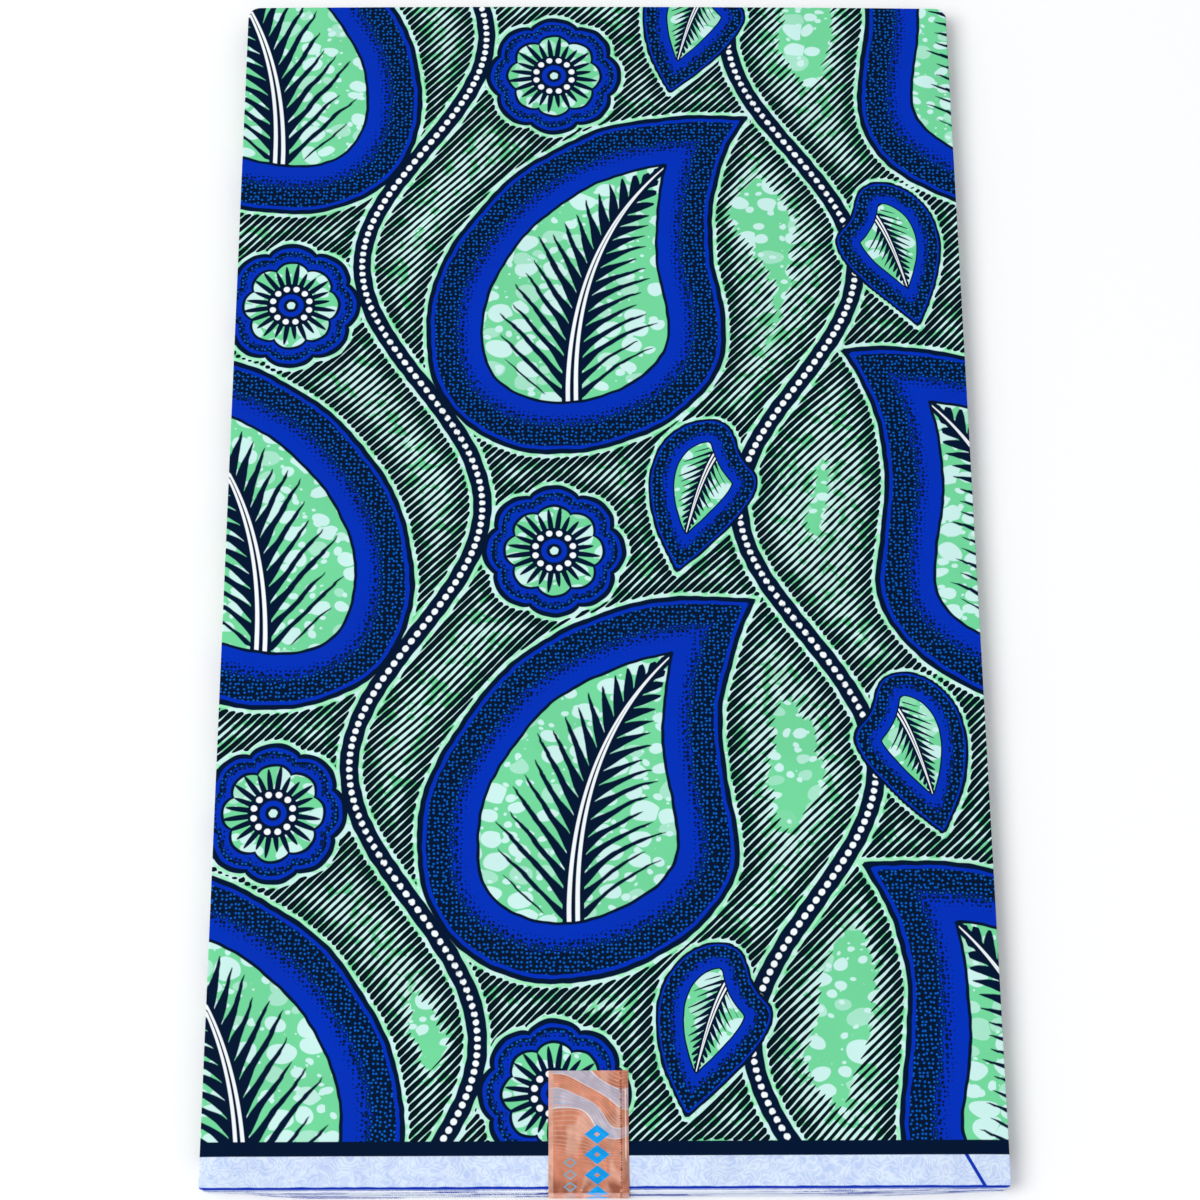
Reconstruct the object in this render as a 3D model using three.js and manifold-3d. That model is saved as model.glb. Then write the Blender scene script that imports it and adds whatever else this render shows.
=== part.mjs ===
// A length of printed cotton cloth as it is sold: folded in half along its length, plaited into a flat
// pack and closed with a foil label over its near edge. Millimetres: X runs across the pack, Y from the
// selvedges to the long fold, and Z up from the table that it lies on.
import * as THREE from "three";
import { mergeVertices } from "three/addons/utils/BufferGeometryUtils.js";
import Module from "manifold-3d";

// The cut length of cloth, six yards of it, and the pack that it is folded into.
const CLOTH_LENGTH = 5486.4;
const CLOTH_WIDTH = 1170;
const PANELS = 16;
const PANEL_WIDTH = CLOTH_LENGTH / PANELS;
const PANEL_LENGTH = CLOTH_WIDTH / 2;
const PACK_HEIGHT = 12;
const LAYERS_IN_PANEL = 2;
const LAYERS_IN_PLAIT = 2 * LAYERS_IN_PANEL;
const LAYERS = LAYERS_IN_PANEL * PANELS;
const LAYER = PACK_HEIGHT / LAYERS;
const PLAIT = LAYERS_IN_PLAIT * LAYER;
const GAP = 0.3;

// The label is a strip of foil that lies on the face, goes down the near edge and comes back underneath.
const LABEL_WIDTH = 34;
const LABEL_ON_FACE = 51;
const LABEL_WALL = 0.5;
const LABEL_X = -7;
const LABEL_BEND = 1;
const LABEL_BEND_STEPS = 5;

// How far the folds at the two sides and the far end stay back from the outline of the face: the most,
// the turn from one fold to the next, and the slow wander along each one.
const FOLD_BACK = 0.9;
const FOLD_TURN = 2.4;
const WANDER = 0.3;
const WANDER_TURN = 1.9;
const WANDER_RUN = 75;
const FAR_BOW = 1;

// How far the lower selvedges stand out past the one on the face, and draw back at the two corners.
const SELVEDGE_PROUD = 0.8;
const SELVEDGE_MEAN = 0.4;
const SELVEDGE_TURN = 2.3;
const LEFT_CORNER_BACK = 2;
const LEFT_CORNER_RUN = 50;
const RIGHT_CORNER_BACK = 1;
const RIGHT_CORNER_RUN = 60;

// The corners seen from above, and how far the face sinks beside the folds.
const FAR_CORNER_RADIUS = 5.5;
const NEAR_CORNER_RADIUS = 1.6;
const LEAST_RADIUS = 0.4;
const SLUMP = 0.4;
const SLUMP_RUN = 14;
const UNDER_PANEL_TOP = PLAIT - GAP / 2;
const FACE_PANEL_BOTTOM = PACK_HEIGHT - UNDER_PANEL_TOP;

// The origin is under the middle of the whole part, so the cloth lies back by half of what is proud of it.
const NEAR_REACH = SELVEDGE_PROUD + GAP + LABEL_WALL;
const NEAR_Y = (NEAR_REACH - PANEL_LENGTH) / 2;
const FAR_Y = NEAR_Y + PANEL_LENGTH;
const HALF_WIDTH = PANEL_WIDTH / 2;

// How finely the rings of points follow the pack: round each corner, along each side, at which shares of
// a layer's height, and how far in from the rim on the face and on the underside.
const CORNER_STEPS = 4;
const NEAR_STEPS = 12;
const FAR_STEPS = 8;
const SIDE_STEPS = 7;
const SHARES_OF_LAYER = [0.08, 0.92];
const FACE_RINGS = [0.5, 1.5, 3.5, 7, 14, 30, 70, 140];
const UNDER_RINGS = [2, 0.5];
const TINY = 1e-4;

// The layers at which one fold ends and the next begins, counted up from the table.
const everyLayers = (step, from) => {
  const marks = [];
  for (let at = from; at <= LAYERS; at += step) marks.push(at);
  return marks;
};
const LEFT_FOLDS = everyLayers(LAYERS_IN_PLAIT, 0);
const RIGHT_FOLDS = [0, ...everyLayers(LAYERS_IN_PLAIT, LAYERS_IN_PANEL), LAYERS];
const FAR_FOLDS = everyLayers(LAYERS_IN_PANEL, 0);
const SELVEDGES = everyLayers(1, 0);

// The fold that height z is in: its number from the top, and how far its round has curved in there.
function foldAt(z, marks) {
  const layer = THREE.MathUtils.clamp(z / LAYER, 0, LAYERS - TINY);
  let fold = 0;
  while (marks[fold + 1] <= layer) fold += 1;
  const middle = (marks[fold] + marks[fold + 1]) / 2;
  const half = marks[fold + 1] - middle;
  const round = 1 - Math.sqrt(1 - ((layer - middle) / half) ** 2);
  return { fromTop: marks.length - 2 - fold, inset: half * LAYER * round };
}

// How far back from the pack's side a fold lies. The top one is on the side, and the others vary.
function foldBack(fromTop, along) {
  if (fromTop === 0) return 0;
  const own = (FOLD_BACK / 2) * (1 - Math.cos(FOLD_TURN * fromTop));
  return own + WANDER * (1 + Math.sin(along / WANDER_RUN + WANDER_TURN * fromTop));
}

// How far a selvedge lies out past the face's own.
function selvedgeOut(fromTop, x) {
  if (fromTop === 0) return 0;
  const turn = Math.cos(SELVEDGE_TURN * (fromTop - 1));
  const proud = SELVEDGE_PROUD * (SELVEDGE_MEAN + (1 - SELVEDGE_MEAN) * turn);
  const left = THREE.MathUtils.smoothstep(x, -HALF_WIDTH, LEFT_CORNER_RUN - HALF_WIDTH);
  const right = THREE.MathUtils.smoothstep(-x, -HALF_WIDTH, RIGHT_CORNER_RUN - HALF_WIDTH);
  const back = LEFT_CORNER_BACK * (1 - left) + RIGHT_CORNER_BACK * (1 - right);
  return proud * left * right - (back * fromTop) / (LAYERS - 1);
}

// The four sides of the layer at height z.
const leftX = (z, y) => {
  const { fromTop, inset } = foldAt(z, LEFT_FOLDS);
  return -HALF_WIDTH + inset + foldBack(fromTop, y);
};
const rightX = (z, y) => {
  const { fromTop, inset } = foldAt(z, RIGHT_FOLDS);
  return HALF_WIDTH - inset - foldBack(fromTop, y + PANEL_LENGTH);
};
const farY = (z, x) => {
  const { fromTop, inset } = foldAt(z, FAR_FOLDS);
  return FAR_Y - inset - foldBack(fromTop, x) - FAR_BOW * (x / HALF_WIDTH) ** 2;
};
const nearY = (z, x) => {
  const { fromTop, inset } = foldAt(z, SELVEDGES);
  return NEAR_Y + inset - selvedgeOut(fromTop, x);
};

// The top plait thins a little towards its folds, so the face sinks there. The rest lies flat.
function settle(x, y, z) {
  const fromFold = Math.min(HALF_WIDTH - Math.abs(x), FAR_Y - y);
  const sink = SLUMP * (1 - THREE.MathUtils.smoothstep(fromFold, 0, SLUMP_RUN));
  const share = Math.max(0, z - FACE_PANEL_BOTTOM) / (PACK_HEIGHT - FACE_PANEL_BOTTOM);
  return new THREE.Vector3(x, y, z - sink * share);
}

// One ring of points round the pack at height z, moved in by shrink, anticlockwise from above.
function ringAt(z, shrink = 0) {
  const corner = (sideX, endY, radius, firstAngle) => {
    const r = Math.max(LEAST_RADIUS, radius - shrink);
    const alongX = Math.sign(sideX(z, 0));
    const alongY = Math.sign(endY(z, 0));
    const centreX = sideX(z, alongY < 0 ? NEAR_Y : FAR_Y) - alongX * (shrink + r);
    const centreY = endY(z, centreX) - alongY * (shrink + r);
    return Array.from({ length: CORNER_STEPS + 1 }, (_, i) => {
      const angle = firstAngle + ((i / CORNER_STEPS) * Math.PI) / 2;
      return [centreX + r * Math.cos(angle), centreY + r * Math.sin(angle)];
    });
  };
  const arcs = [
    corner(leftX, nearY, NEAR_CORNER_RADIUS, Math.PI),
    corner(rightX, nearY, NEAR_CORNER_RADIUS, -Math.PI / 2),
    corner(rightX, farY, FAR_CORNER_RADIUS, 0),
    corner(leftX, farY, FAR_CORNER_RADIUS, Math.PI / 2),
  ];
  const sides = [
    { steps: NEAR_STEPS, axis: 0, point: (x) => [x, nearY(z, x) + shrink] },
    { steps: SIDE_STEPS, axis: 1, point: (y) => [rightX(z, y) - shrink, y] },
    { steps: FAR_STEPS, axis: 0, point: (x) => [x, farY(z, x) - shrink] },
    { steps: SIDE_STEPS, axis: 1, point: (y) => [leftX(z, y) + shrink, y] },
  ];
  const points = [];
  arcs.forEach((arc, i) => {
    const { steps, axis, point } = sides[i];
    const from = arc[CORNER_STEPS][axis];
    const to = arcs[(i + 1) % arcs.length][0][axis];
    points.push(...arc);
    for (let s = 1; s < steps; s += 1) points.push(point(THREE.MathUtils.lerp(from, to, s / steps)));
  });
  return points.map(([x, y]) => settle(x, y, z));
}

// The rings between two heights, a few in each layer.
function ringsBetween(low, high) {
  const heights = [low];
  for (let layer = 0; layer < LAYERS; layer += 1) {
    for (const share of SHARES_OF_LAYER) {
      const z = (layer + share) * LAYER;
      if (z > low + TINY && z < high - TINY) heights.push(z);
    }
  }
  heights.push(high);
  return heights.map((z) => ringAt(z));
}

// A closed solid through rings with the same number of points, the first and last of them flat.
function solidThrough(rings) {
  const count = rings[0].length;
  const index = [];
  for (let r = 0; r + 1 < rings.length; r += 1) {
    for (let i = 0; i < count; i += 1) {
      const a = r * count + i;
      const b = r * count + ((i + 1) % count);
      index.push(a, b, b + count, a, b + count, a + count);
    }
  }
  const closeWith = (r, facesUp) => {
    const outline = rings[r].map((p) => new THREE.Vector2(p.x, p.y));
    for (const triangle of THREE.ShapeUtils.triangulateShape(outline, [])) {
      const [a, b, c] = triangle.map((i) => r * count + i);
      index.push(...(facesUp ? [a, b, c] : [a, c, b]));
    }
  };
  closeWith(0, false);
  closeWith(rings.length - 1, true);
  const position = rings.flat().flatMap((p) => p.toArray());
  return asGeometry(new Float32Array(position), index);
}

// The plait on top: two doubled panels that share the left fold. Its upper side is the face of the pack.
function facePanel() {
  const sides = ringsBetween(FACE_PANEL_BOTTOM, PACK_HEIGHT);
  const face = FACE_RINGS.map((shrink) => ringAt(PACK_HEIGHT, shrink));
  return solidThrough([...sides, ...face]);
}

// The plaits that don't show but at their edges: one solid, with every fold and selvedge round it.
function foldedLayers() {
  return solidThrough(ringsBetween(UNDER_PANEL_TOP + GAP, FACE_PANEL_BOTTOM - GAP));
}

// The plait that lies on the table, pressed in where the label comes back under it.
function underPanel(wasm) {
  const underside = UNDER_RINGS.map((shrink) => ringAt(0, shrink));
  const panel = solidThrough([...underside, ...ringsBetween(0, UNDER_PANEL_TOP)]);
  const length = NEAR_REACH + LABEL_ON_FACE + GAP;
  const pressed = new THREE.BoxGeometry(LABEL_WIDTH + 2 * GAP, length, 2 * (LABEL_WALL + GAP));
  pressed.translate(LABEL_X, NEAR_Y - NEAR_REACH + length / 2, 0);
  const cut = asManifold(wasm, panel).subtract(asManifold(wasm, pressed)).getMesh();
  return asGeometry(cut.vertProperties, [...cut.triVerts]);
}

// The foil strip: its section is a long U that lies round the near edge, drawn in Y and Z.
function label() {
  const bendY = NEAR_Y - SELVEDGE_PROUD - GAP + LABEL_BEND;
  const outerBend = LABEL_BEND + LABEL_WALL;
  const lowBendZ = LABEL_WALL + LABEL_BEND;
  const highBendZ = PACK_HEIGHT + GAP - LABEL_BEND;
  const end = NEAR_Y + LABEL_ON_FACE;
  const section = new THREE.Shape();
  section.moveTo(end, 0);
  section.lineTo(end, LABEL_WALL);
  section.absarc(bendY, lowBendZ, LABEL_BEND, -Math.PI / 2, -Math.PI, true);
  section.absarc(bendY, highBendZ, LABEL_BEND, Math.PI, Math.PI / 2, true);
  section.lineTo(end, highBendZ + LABEL_BEND);
  section.lineTo(end, highBendZ + outerBend);
  section.absarc(bendY, highBendZ, outerBend, Math.PI / 2, Math.PI, false);
  section.absarc(bendY, lowBendZ, outerBend, Math.PI, 1.5 * Math.PI, false);
  section.closePath();
  const strip = new THREE.ExtrudeGeometry(section, {
    depth: LABEL_WIDTH,
    bevelEnabled: false,
    curveSegments: LABEL_BEND_STEPS,
  });
  // The section's own X and Y become the part's Y and Z, and the extrusion runs along X.
  const alongX = new THREE.Vector3(1, 0, 0);
  const alongY = new THREE.Vector3(0, 1, 0);
  const alongZ = new THREE.Vector3(0, 0, 1);
  strip.applyMatrix4(new THREE.Matrix4().makeBasis(alongY, alongZ, alongX));
  strip.translate(LABEL_X - LABEL_WIDTH / 2, 0, 0);
  return strip;
}

function asGeometry(position, index) {
  const geometry = new THREE.BufferGeometry();
  geometry.setAttribute("position", new THREE.BufferAttribute(position, 3));
  geometry.setIndex(index);
  return geometry;
}

// A closed geometry as a solid that can be cut.
function asManifold(wasm, geometry) {
  geometry.deleteAttribute("normal");
  geometry.deleteAttribute("uv");
  const merged = mergeVertices(geometry, TINY);
  return new wasm.Manifold(
    new wasm.Mesh({
      numProp: 3,
      vertProperties: merged.attributes.position.array,
      triVerts: new Uint32Array(merged.index.array),
    }),
  );
}

const cloth = (color) => new THREE.MeshStandardMaterial({ color, roughness: 0.8, metalness: 0 });
const printedFace = cloth(0x2c6fa0);
const layerEdges = cloth(0x6f9fc0);
const copperFoil = new THREE.MeshStandardMaterial({ color: 0xc9805f, roughness: 0.3, metalness: 0.9 });

const wasm = await Module();
wasm.setup();

const pack = new THREE.Group();
pack.name = "folded_wax_print_cloth";
const add = (name, geometry, material) => {
  geometry.computeVertexNormals();
  const mesh = new THREE.Mesh(geometry, material);
  mesh.name = name;
  pack.add(mesh);
};
add("face_panel", facePanel(), printedFace);
add("folded_layers", foldedLayers(), layerEdges);
add("under_panel", underPanel(wasm), printedFace);
add("label", label(), copperFoil);

export default pack;
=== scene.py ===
# %% [markdown]
# # A folded cut of wax print cloth
#
# The object is one whole cut of printed cotton, as a shop sells it. It is folded in half along its length,
# plaited to and fro into a flat pack, and closed with a strip of copper foil over its near edge. This
# lesson dresses the plain solids of that pack: first the camera and the light, then the fold rule that
# every layer follows, the print, the cloth pieces and the label.

# %% Load the frame
import math
from collections import namedtuple

import bpy
import numpy as np
from mathutils import Matrix, Vector


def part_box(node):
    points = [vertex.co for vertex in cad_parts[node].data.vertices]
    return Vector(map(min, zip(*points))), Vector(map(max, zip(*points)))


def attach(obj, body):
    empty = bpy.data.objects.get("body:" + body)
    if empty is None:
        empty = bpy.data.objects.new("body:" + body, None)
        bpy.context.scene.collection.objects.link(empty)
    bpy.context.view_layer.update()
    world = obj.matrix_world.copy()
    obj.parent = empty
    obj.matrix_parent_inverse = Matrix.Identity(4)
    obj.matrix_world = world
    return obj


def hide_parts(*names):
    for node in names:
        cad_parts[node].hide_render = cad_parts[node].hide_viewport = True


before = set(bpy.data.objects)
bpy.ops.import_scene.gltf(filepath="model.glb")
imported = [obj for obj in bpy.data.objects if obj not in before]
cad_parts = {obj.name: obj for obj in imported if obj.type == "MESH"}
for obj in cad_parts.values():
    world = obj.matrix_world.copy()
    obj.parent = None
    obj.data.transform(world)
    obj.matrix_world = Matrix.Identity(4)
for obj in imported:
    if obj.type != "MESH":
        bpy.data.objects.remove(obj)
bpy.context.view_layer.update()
print("solids:", sorted(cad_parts))

# %% [markdown]
# ## Sizes
#
# Everything below is worked out in millimetres, as a cloth merchant would measure it, and scaled to metres
# only when a mesh is made. The outline comes from the solids, so the finished cloth lies where they do. How
# far the selvedges stand out and the folds lie back repeats the rule that the solids were made with.

# %% Sizes of the pack
MM = 0.001
LAYERS = 32
PLAIT_LAYERS = 4
SELVEDGE_PROUD = 0.8

face_low, face_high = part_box("face_panel")
label_low, label_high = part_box("label")
LABEL_LEFT, LABEL_RIGHT = label_low.x / MM, label_high.x / MM
LABEL_END = label_high.y / MM
HALF_WIDTH = face_high.x / MM
PANEL_WIDTH = 2 * HALF_WIDTH
FAR_Y = face_high.y / MM
NEAR_Y = face_low.y / MM + SELVEDGE_PROUD
PANEL_LENGTH = FAR_Y - NEAR_Y
MIDDLE_Y = (FAR_Y + NEAR_Y) / 2
LAYER = face_high.z / MM / LAYERS
print("panel", round(PANEL_WIDTH, 1), "x", round(PANEL_LENGTH, 1), "mm, one layer", round(LAYER, 3), "mm")

# %% [markdown]
# ## Camera
#
# The pack lies flat and is seen from above its near edge, through a long lens. The place and the turn were
# worked out from the four corners of the face, whose real distances are known. A camera looks down its own
# minus Z, so it is rolled about Z, tilted up about X and turned about Z again, in that order.

# %% Camera at the photo's angle
CAMERA_PLACE = Vector((-18.81, -568.09, 1332.1)) * MM
CAMERA_TURN = math.radians(-1.905)
CAMERA_TILT = math.radians(22.448)
CAMERA_ROLL = math.radians(1.691)
CAMERA_LENS = 94.4
CAMERA_SENSOR = 36.0


def add_object(name, data):
    """A new object in the scene."""
    made = bpy.data.objects.new(name, data)
    bpy.context.scene.collection.objects.link(made)
    return made


camera_data = bpy.data.cameras.new("camera")
camera_data.lens = CAMERA_LENS
camera_data.sensor_width = CAMERA_SENSOR
camera = add_object("camera", camera_data)
turned = Matrix.Rotation(CAMERA_TURN, 4, "Z") @ Matrix.Rotation(CAMERA_TILT, 4, "X")
camera.matrix_world = Matrix.Translation(CAMERA_PLACE) @ turned @ Matrix.Rotation(CAMERA_ROLL, 4, "Z")
bpy.context.scene.camera = camera
print("camera", [round(v, 3) for v in CAMERA_PLACE], "lens", CAMERA_LENS, "mm")

# %% [markdown]
# ## Floor and light
#
# A product shot on white has light from everywhere and hardly a shadow. An even pale world gives most of it
# here, and one large soft lamp from the left gives the folds a lit and a shaded side. The Standard view
# keeps the dyes as bright as they are mixed, where a filmic view would grey them.

# %% Floor, world and lamp
FLOOR_SIZE = 6.0
FLOOR_ROUGHNESS = 0.9
FLOOR_SPECULAR = 0.1
FLOOR_CLOUDS = 1.5
FLOOR_DARK, FLOOR_LIGHT = 0.94, 0.96
WORLD_DYE = (252, 253, 255)
WORLD_LIGHT = 0.67
LAMP_PLACE = Vector((-3.4, -1.4, 5.0))
LAMP_SIZE = 3.6
LAMP_POWER = 222.0
# The curve between a screen's colour and light: straight at first, then a power.
SCREEN_STEPS = 255
SCREEN_STRAIGHT = 0.04045
SCREEN_SLOPE = 12.92
SCREEN_OFFSET = 0.055
SCREEN_POWER = 2.4


def srgb(red, green, blue):
    """A colour as a screen shows it, 0 to 255, as the linear values that a shader takes."""
    shares = np.array([red, green, blue]) / SCREEN_STEPS
    curved = ((shares + SCREEN_OFFSET) / (1 + SCREEN_OFFSET)) ** SCREEN_POWER
    return (*np.where(shares <= SCREEN_STRAIGHT, shares / SCREEN_SLOPE, curved).tolist(), 1.0)


def new_material(name, specular=0.5, metallic=0.0):
    """A material, its node tree and its Principled shader."""
    material = bpy.data.materials.new(name)
    material.use_nodes = True
    shader = material.node_tree.nodes["Principled BSDF"]
    shader.inputs["Specular IOR Level"].default_value = specular
    shader.inputs["Metallic"].default_value = metallic
    return material, material.node_tree, shader


def floor_material():
    """Plain pale card, with a faint unevenness."""
    material, tree, shader = new_material("pale_floor", FLOOR_SPECULAR)
    shader.inputs["Roughness"].default_value = FLOOR_ROUGHNESS
    cloudy = tree.nodes.new("ShaderNodeTexNoise")
    cloudy.inputs["Scale"].default_value = FLOOR_CLOUDS
    ramp = tree.nodes.new("ShaderNodeMapRange")
    ramp.inputs["To Min"].default_value = FLOOR_DARK
    ramp.inputs["To Max"].default_value = FLOOR_LIGHT
    tree.links.new(cloudy.outputs[0], ramp.inputs["Value"])
    tree.links.new(ramp.outputs["Result"], shader.inputs["Base Color"])
    return material


floor_mesh = bpy.data.meshes.new("floor")
reach = FLOOR_SIZE / 2
floor_corners = [(-reach, -reach, 0), (reach, -reach, 0), (reach, reach, 0), (-reach, reach, 0)]
floor_mesh.from_pydata(floor_corners, [], [(0, 1, 2, 3)])
floor_mesh.materials.append(floor_material())
floor = add_object("floor", floor_mesh)

world = bpy.data.worlds.new("even_light")
world.use_nodes = True
world.node_tree.nodes["Background"].inputs["Color"].default_value = srgb(*WORLD_DYE)
world.node_tree.nodes["Background"].inputs["Strength"].default_value = WORLD_LIGHT
bpy.context.scene.world = world

lamp_data = bpy.data.lights.new("soft_lamp", "AREA")
lamp_data.size = LAMP_SIZE
lamp_data.energy = LAMP_POWER
lamp = add_object("soft_lamp", lamp_data)
lamp.location = LAMP_PLACE
lamp.rotation_euler = (-LAMP_PLACE).to_track_quat("-Z", "Y").to_euler()
bpy.context.scene.view_settings.view_transform = "Standard"
print("floor of", FLOOR_SIZE, "m, lamp", round(LAMP_PLACE.length, 2), "m away")

# %% [markdown]
# ## The fold rule
#
# A plaited pack looks the same from no two sides. On the left every fold holds four layers, on the right
# the folds are two layers out of step, the far side shows the loops of two layers where the cloth is
# doubled, and the near side shows the bare selvedges. So a height in the pack tells which fold it is in,
# how far that fold has rounded in, and how far it lies back from the others. One function for each side
# could be kept in four hand-made outlines, but a rule keeps all thirty-two layers consistent.

# %% Which fold a height is in
LEFT_FOLDS = list(range(0, LAYERS + 1, PLAIT_LAYERS))
RIGHT_FOLDS = [0, *range(2, LAYERS, PLAIT_LAYERS), LAYERS]
FAR_FOLDS = list(range(0, LAYERS + 1, 2))
SELVEDGES = list(range(LAYERS + 1))

# Between two folds the cloth runs back inside the pack: from which share of a layer, and how deep.
GROOVE_FROM = 0.13
GROOVE_FULL = 0.05
FOLD_GROOVE = 0.8
SELVEDGE_GROOVE = 1.3

Fold = namedtuple("Fold", "from_top inset middle")


def fold_at(height, marks, groove):
    """The fold at a height that is counted in layers: its number from the top, its inset and its middle."""
    fold = max(i for i in range(len(marks) - 1) if marks[i] <= height or i == 0)
    middle = (marks[fold] + marks[fold + 1]) / 2
    half = marks[fold + 1] - middle
    round_in = half * LAYER * (1 - math.sqrt(max(0.0, 1 - ((height - middle) / half) ** 2)))
    below = height - marks[fold] if fold > 0 else 1.0
    above = marks[fold + 1] - height if fold + 2 < len(marks) else 1.0
    share = (GROOVE_FROM - min(below, above)) / (GROOVE_FROM - GROOVE_FULL)
    return Fold(len(marks) - 2 - fold, round_in + groove * min(1.0, max(0.0, share)), middle)


print("left folds:", len(LEFT_FOLDS) - 1, "right folds:", len(RIGHT_FOLDS) - 1, "loops:", len(FAR_FOLDS) - 1)

# %% How far each side lies in or out
FOLD_BACK = 0.9
FOLD_TURN = 2.4
WANDER = 0.3
WANDER_TURN = 1.9
WANDER_RUN = 75
FAR_BOW = 1
SELVEDGE_MEAN = 0.4
SELVEDGE_TURN = 2.3
LEFT_CORNER_BACK = 2
LEFT_CORNER_RUN = 50
RIGHT_CORNER_BACK = 1
RIGHT_CORNER_RUN = 60
RIM_RUN = 14
SLUMP = 0.4


def smoothstep(value, low, high):
    """0 below low, 1 above high, and a smooth rise between them."""
    t = np.clip((value - low) / (high - low), 0.0, 1.0)
    return t * t * (3 - 2 * t)


def fold_back(from_top, along):
    """How far back from the pack's side a fold lies. The top one is on the side, and the others vary."""
    if from_top == 0:
        return np.zeros_like(along)
    own = FOLD_BACK / 2 * (1 - math.cos(FOLD_TURN * from_top))
    return own + WANDER * (1 + np.sin(along / WANDER_RUN + WANDER_TURN * from_top))


def selvedge_out(from_top, x):
    """How far a selvedge lies out past the face's own."""
    if from_top == 0:
        return np.zeros_like(x)
    turn = math.cos(SELVEDGE_TURN * (from_top - 1))
    proud = SELVEDGE_PROUD * (SELVEDGE_MEAN + (1 - SELVEDGE_MEAN) * turn)
    left = smoothstep(x, -HALF_WIDTH, LEFT_CORNER_RUN - HALF_WIDTH)
    right = smoothstep(-x, -HALF_WIDTH, RIGHT_CORNER_RUN - HALF_WIDTH)
    back = LEFT_CORNER_BACK * (1 - left) + RIGHT_CORNER_BACK * (1 - right)
    return proud * left * right - back * from_top / (LAYERS - 1)


def place(x, y, height):
    """Where the point (x, y) of the pack's outline or face lies in the layer at that height."""
    near = y < MIDDLE_Y
    pull_x = 1 - smoothstep(HALF_WIDTH - np.abs(x), 0, RIM_RUN)
    pull_y = 1 - smoothstep(np.where(near, y - NEAR_Y, FAR_Y - y), 0, RIM_RUN)
    left = fold_at(height, LEFT_FOLDS, FOLD_GROOVE)
    right = fold_at(height, RIGHT_FOLDS, FOLD_GROOVE)
    far = fold_at(height, FAR_FOLDS, FOLD_GROOVE)
    edge = fold_at(height, SELVEDGES, SELVEDGE_GROOVE)
    left_in = left.inset + fold_back(left.from_top, y)
    right_in = right.inset + fold_back(right.from_top, y + PANEL_LENGTH)
    far_in = far.inset + fold_back(far.from_top, x) + FAR_BOW * (x / HALF_WIDTH) ** 2
    near_in = edge.inset - selvedge_out(edge.from_top, x)
    return (
        x + np.where(x < 0, left_in, -right_in) * pull_x,
        y + np.where(near, near_in, -far_in) * pull_y,
    )


# %% [markdown]
# ## How the face lies
#
# The top plait sinks a little beside its folds, and a folded cloth keeps a few soft marks of handling: long
# shallow troughs and ridges, no two alike. A cloth simulation would wrinkle a flat pack far too much, so
# each mark is given one by one, with its two ends, its width and its height in millimetres.

# %% Soft creases of the face
Crease = namedtuple("Crease", "from_x from_y to_x to_y width height")
CREASES = [
    Crease(-165, 205, -30, 238, 16, 0.30),
    Crease(20, 262, 150, 214, 20, -0.26),
    Crease(-120, 60, -95, -150, 18, 0.24),
    Crease(70, 95, 168, 62, 13, -0.30),
    Crease(-168, -66, -50, -84, 15, -0.28),
    Crease(34, -20, 52, -176, 22, 0.22),
    Crease(110, -120, 166, -150, 12, 0.28),
    Crease(-155, -214, -62, -196, 14, 0.24),
    Crease(60, -238, 148, -226, 16, -0.22),
]
# A crease dies out over this share of its length at both ends.
CREASE_FADE = 1 / 3
# The free selvedge of the face waves gently: how high, how far in from the edge, and its two waves.
EDGE_LIFT = 0.30
EDGE_LIFT_RUN = 24
Wave = namedtuple("Wave", "length share start")
EDGE_WAVES = (Wave(61.0, 1.0, 0.6), Wave(23.0, 0.45, 2.0))


def crease_height(x, y, crease):
    """A soft trough or ridge along a line, which dies out at both ends."""
    run = np.array([crease.to_x - crease.from_x, crease.to_y - crease.from_y], float)
    length = math.hypot(*run)
    along = ((x - crease.from_x) * run[0] + (y - crease.from_y) * run[1]) / length
    across = ((x - crease.from_x) * run[1] - (y - crease.from_y) * run[0]) / length
    fade = length * CREASE_FADE
    ends = smoothstep(along, 0, fade) * (1 - smoothstep(along, length - fade, length))
    return crease.height * ends * np.exp(-((across / crease.width) ** 2))


def face_rumple(x, y):
    """How far the face lies above or below its flat height."""
    rise = sum(crease_height(x, y, crease) for crease in CREASES)
    at_edge = 1 - smoothstep(y - NEAR_Y, 0, EDGE_LIFT_RUN)
    waves = sum(wave.share * np.sin(x / wave.length * math.tau + wave.start) for wave in EDGE_WAVES)
    from_fold = np.minimum(HALF_WIDTH - np.abs(x), FAR_Y - y)
    return rise + EDGE_LIFT * at_edge * waves / 2 - SLUMP * (1 - smoothstep(from_fold, 0, RIM_RUN))


def height_at(x, y, height):
    """The height in millimetres. Only the top plait follows the face's creases, less and less downwards."""
    share = max(0.0, (height - (LAYERS - PLAIT_LAYERS)) / PLAIT_LAYERS)
    return height * LAYER + share * face_rumple(x, y)


samples = np.linspace(-HALF_WIDTH, HALF_WIDTH, 60)
print("face rises by", round(float(face_rumple(*np.meshgrid(samples, samples)).max()), 2), "mm at most")

# %% [markdown]
# ## The print, part one: where everything is
#
# Wax print is a repeat of large bold motifs on a ground of fine lines. A shader can draw fine lines easily,
# but it knows nothing of leaves. So the design is laid out here, in cloth coordinates: u runs along the
# cloth and v from the selvedge to the long fold. For each point of the mesh numpy works out how far it is
# from the nearest motif, and where it lies along and across it. The shader then turns those smooth numbers
# into crisp lines. The layout is this lesson's own: pointed leaves, round flowers and two beaded stems.

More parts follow.
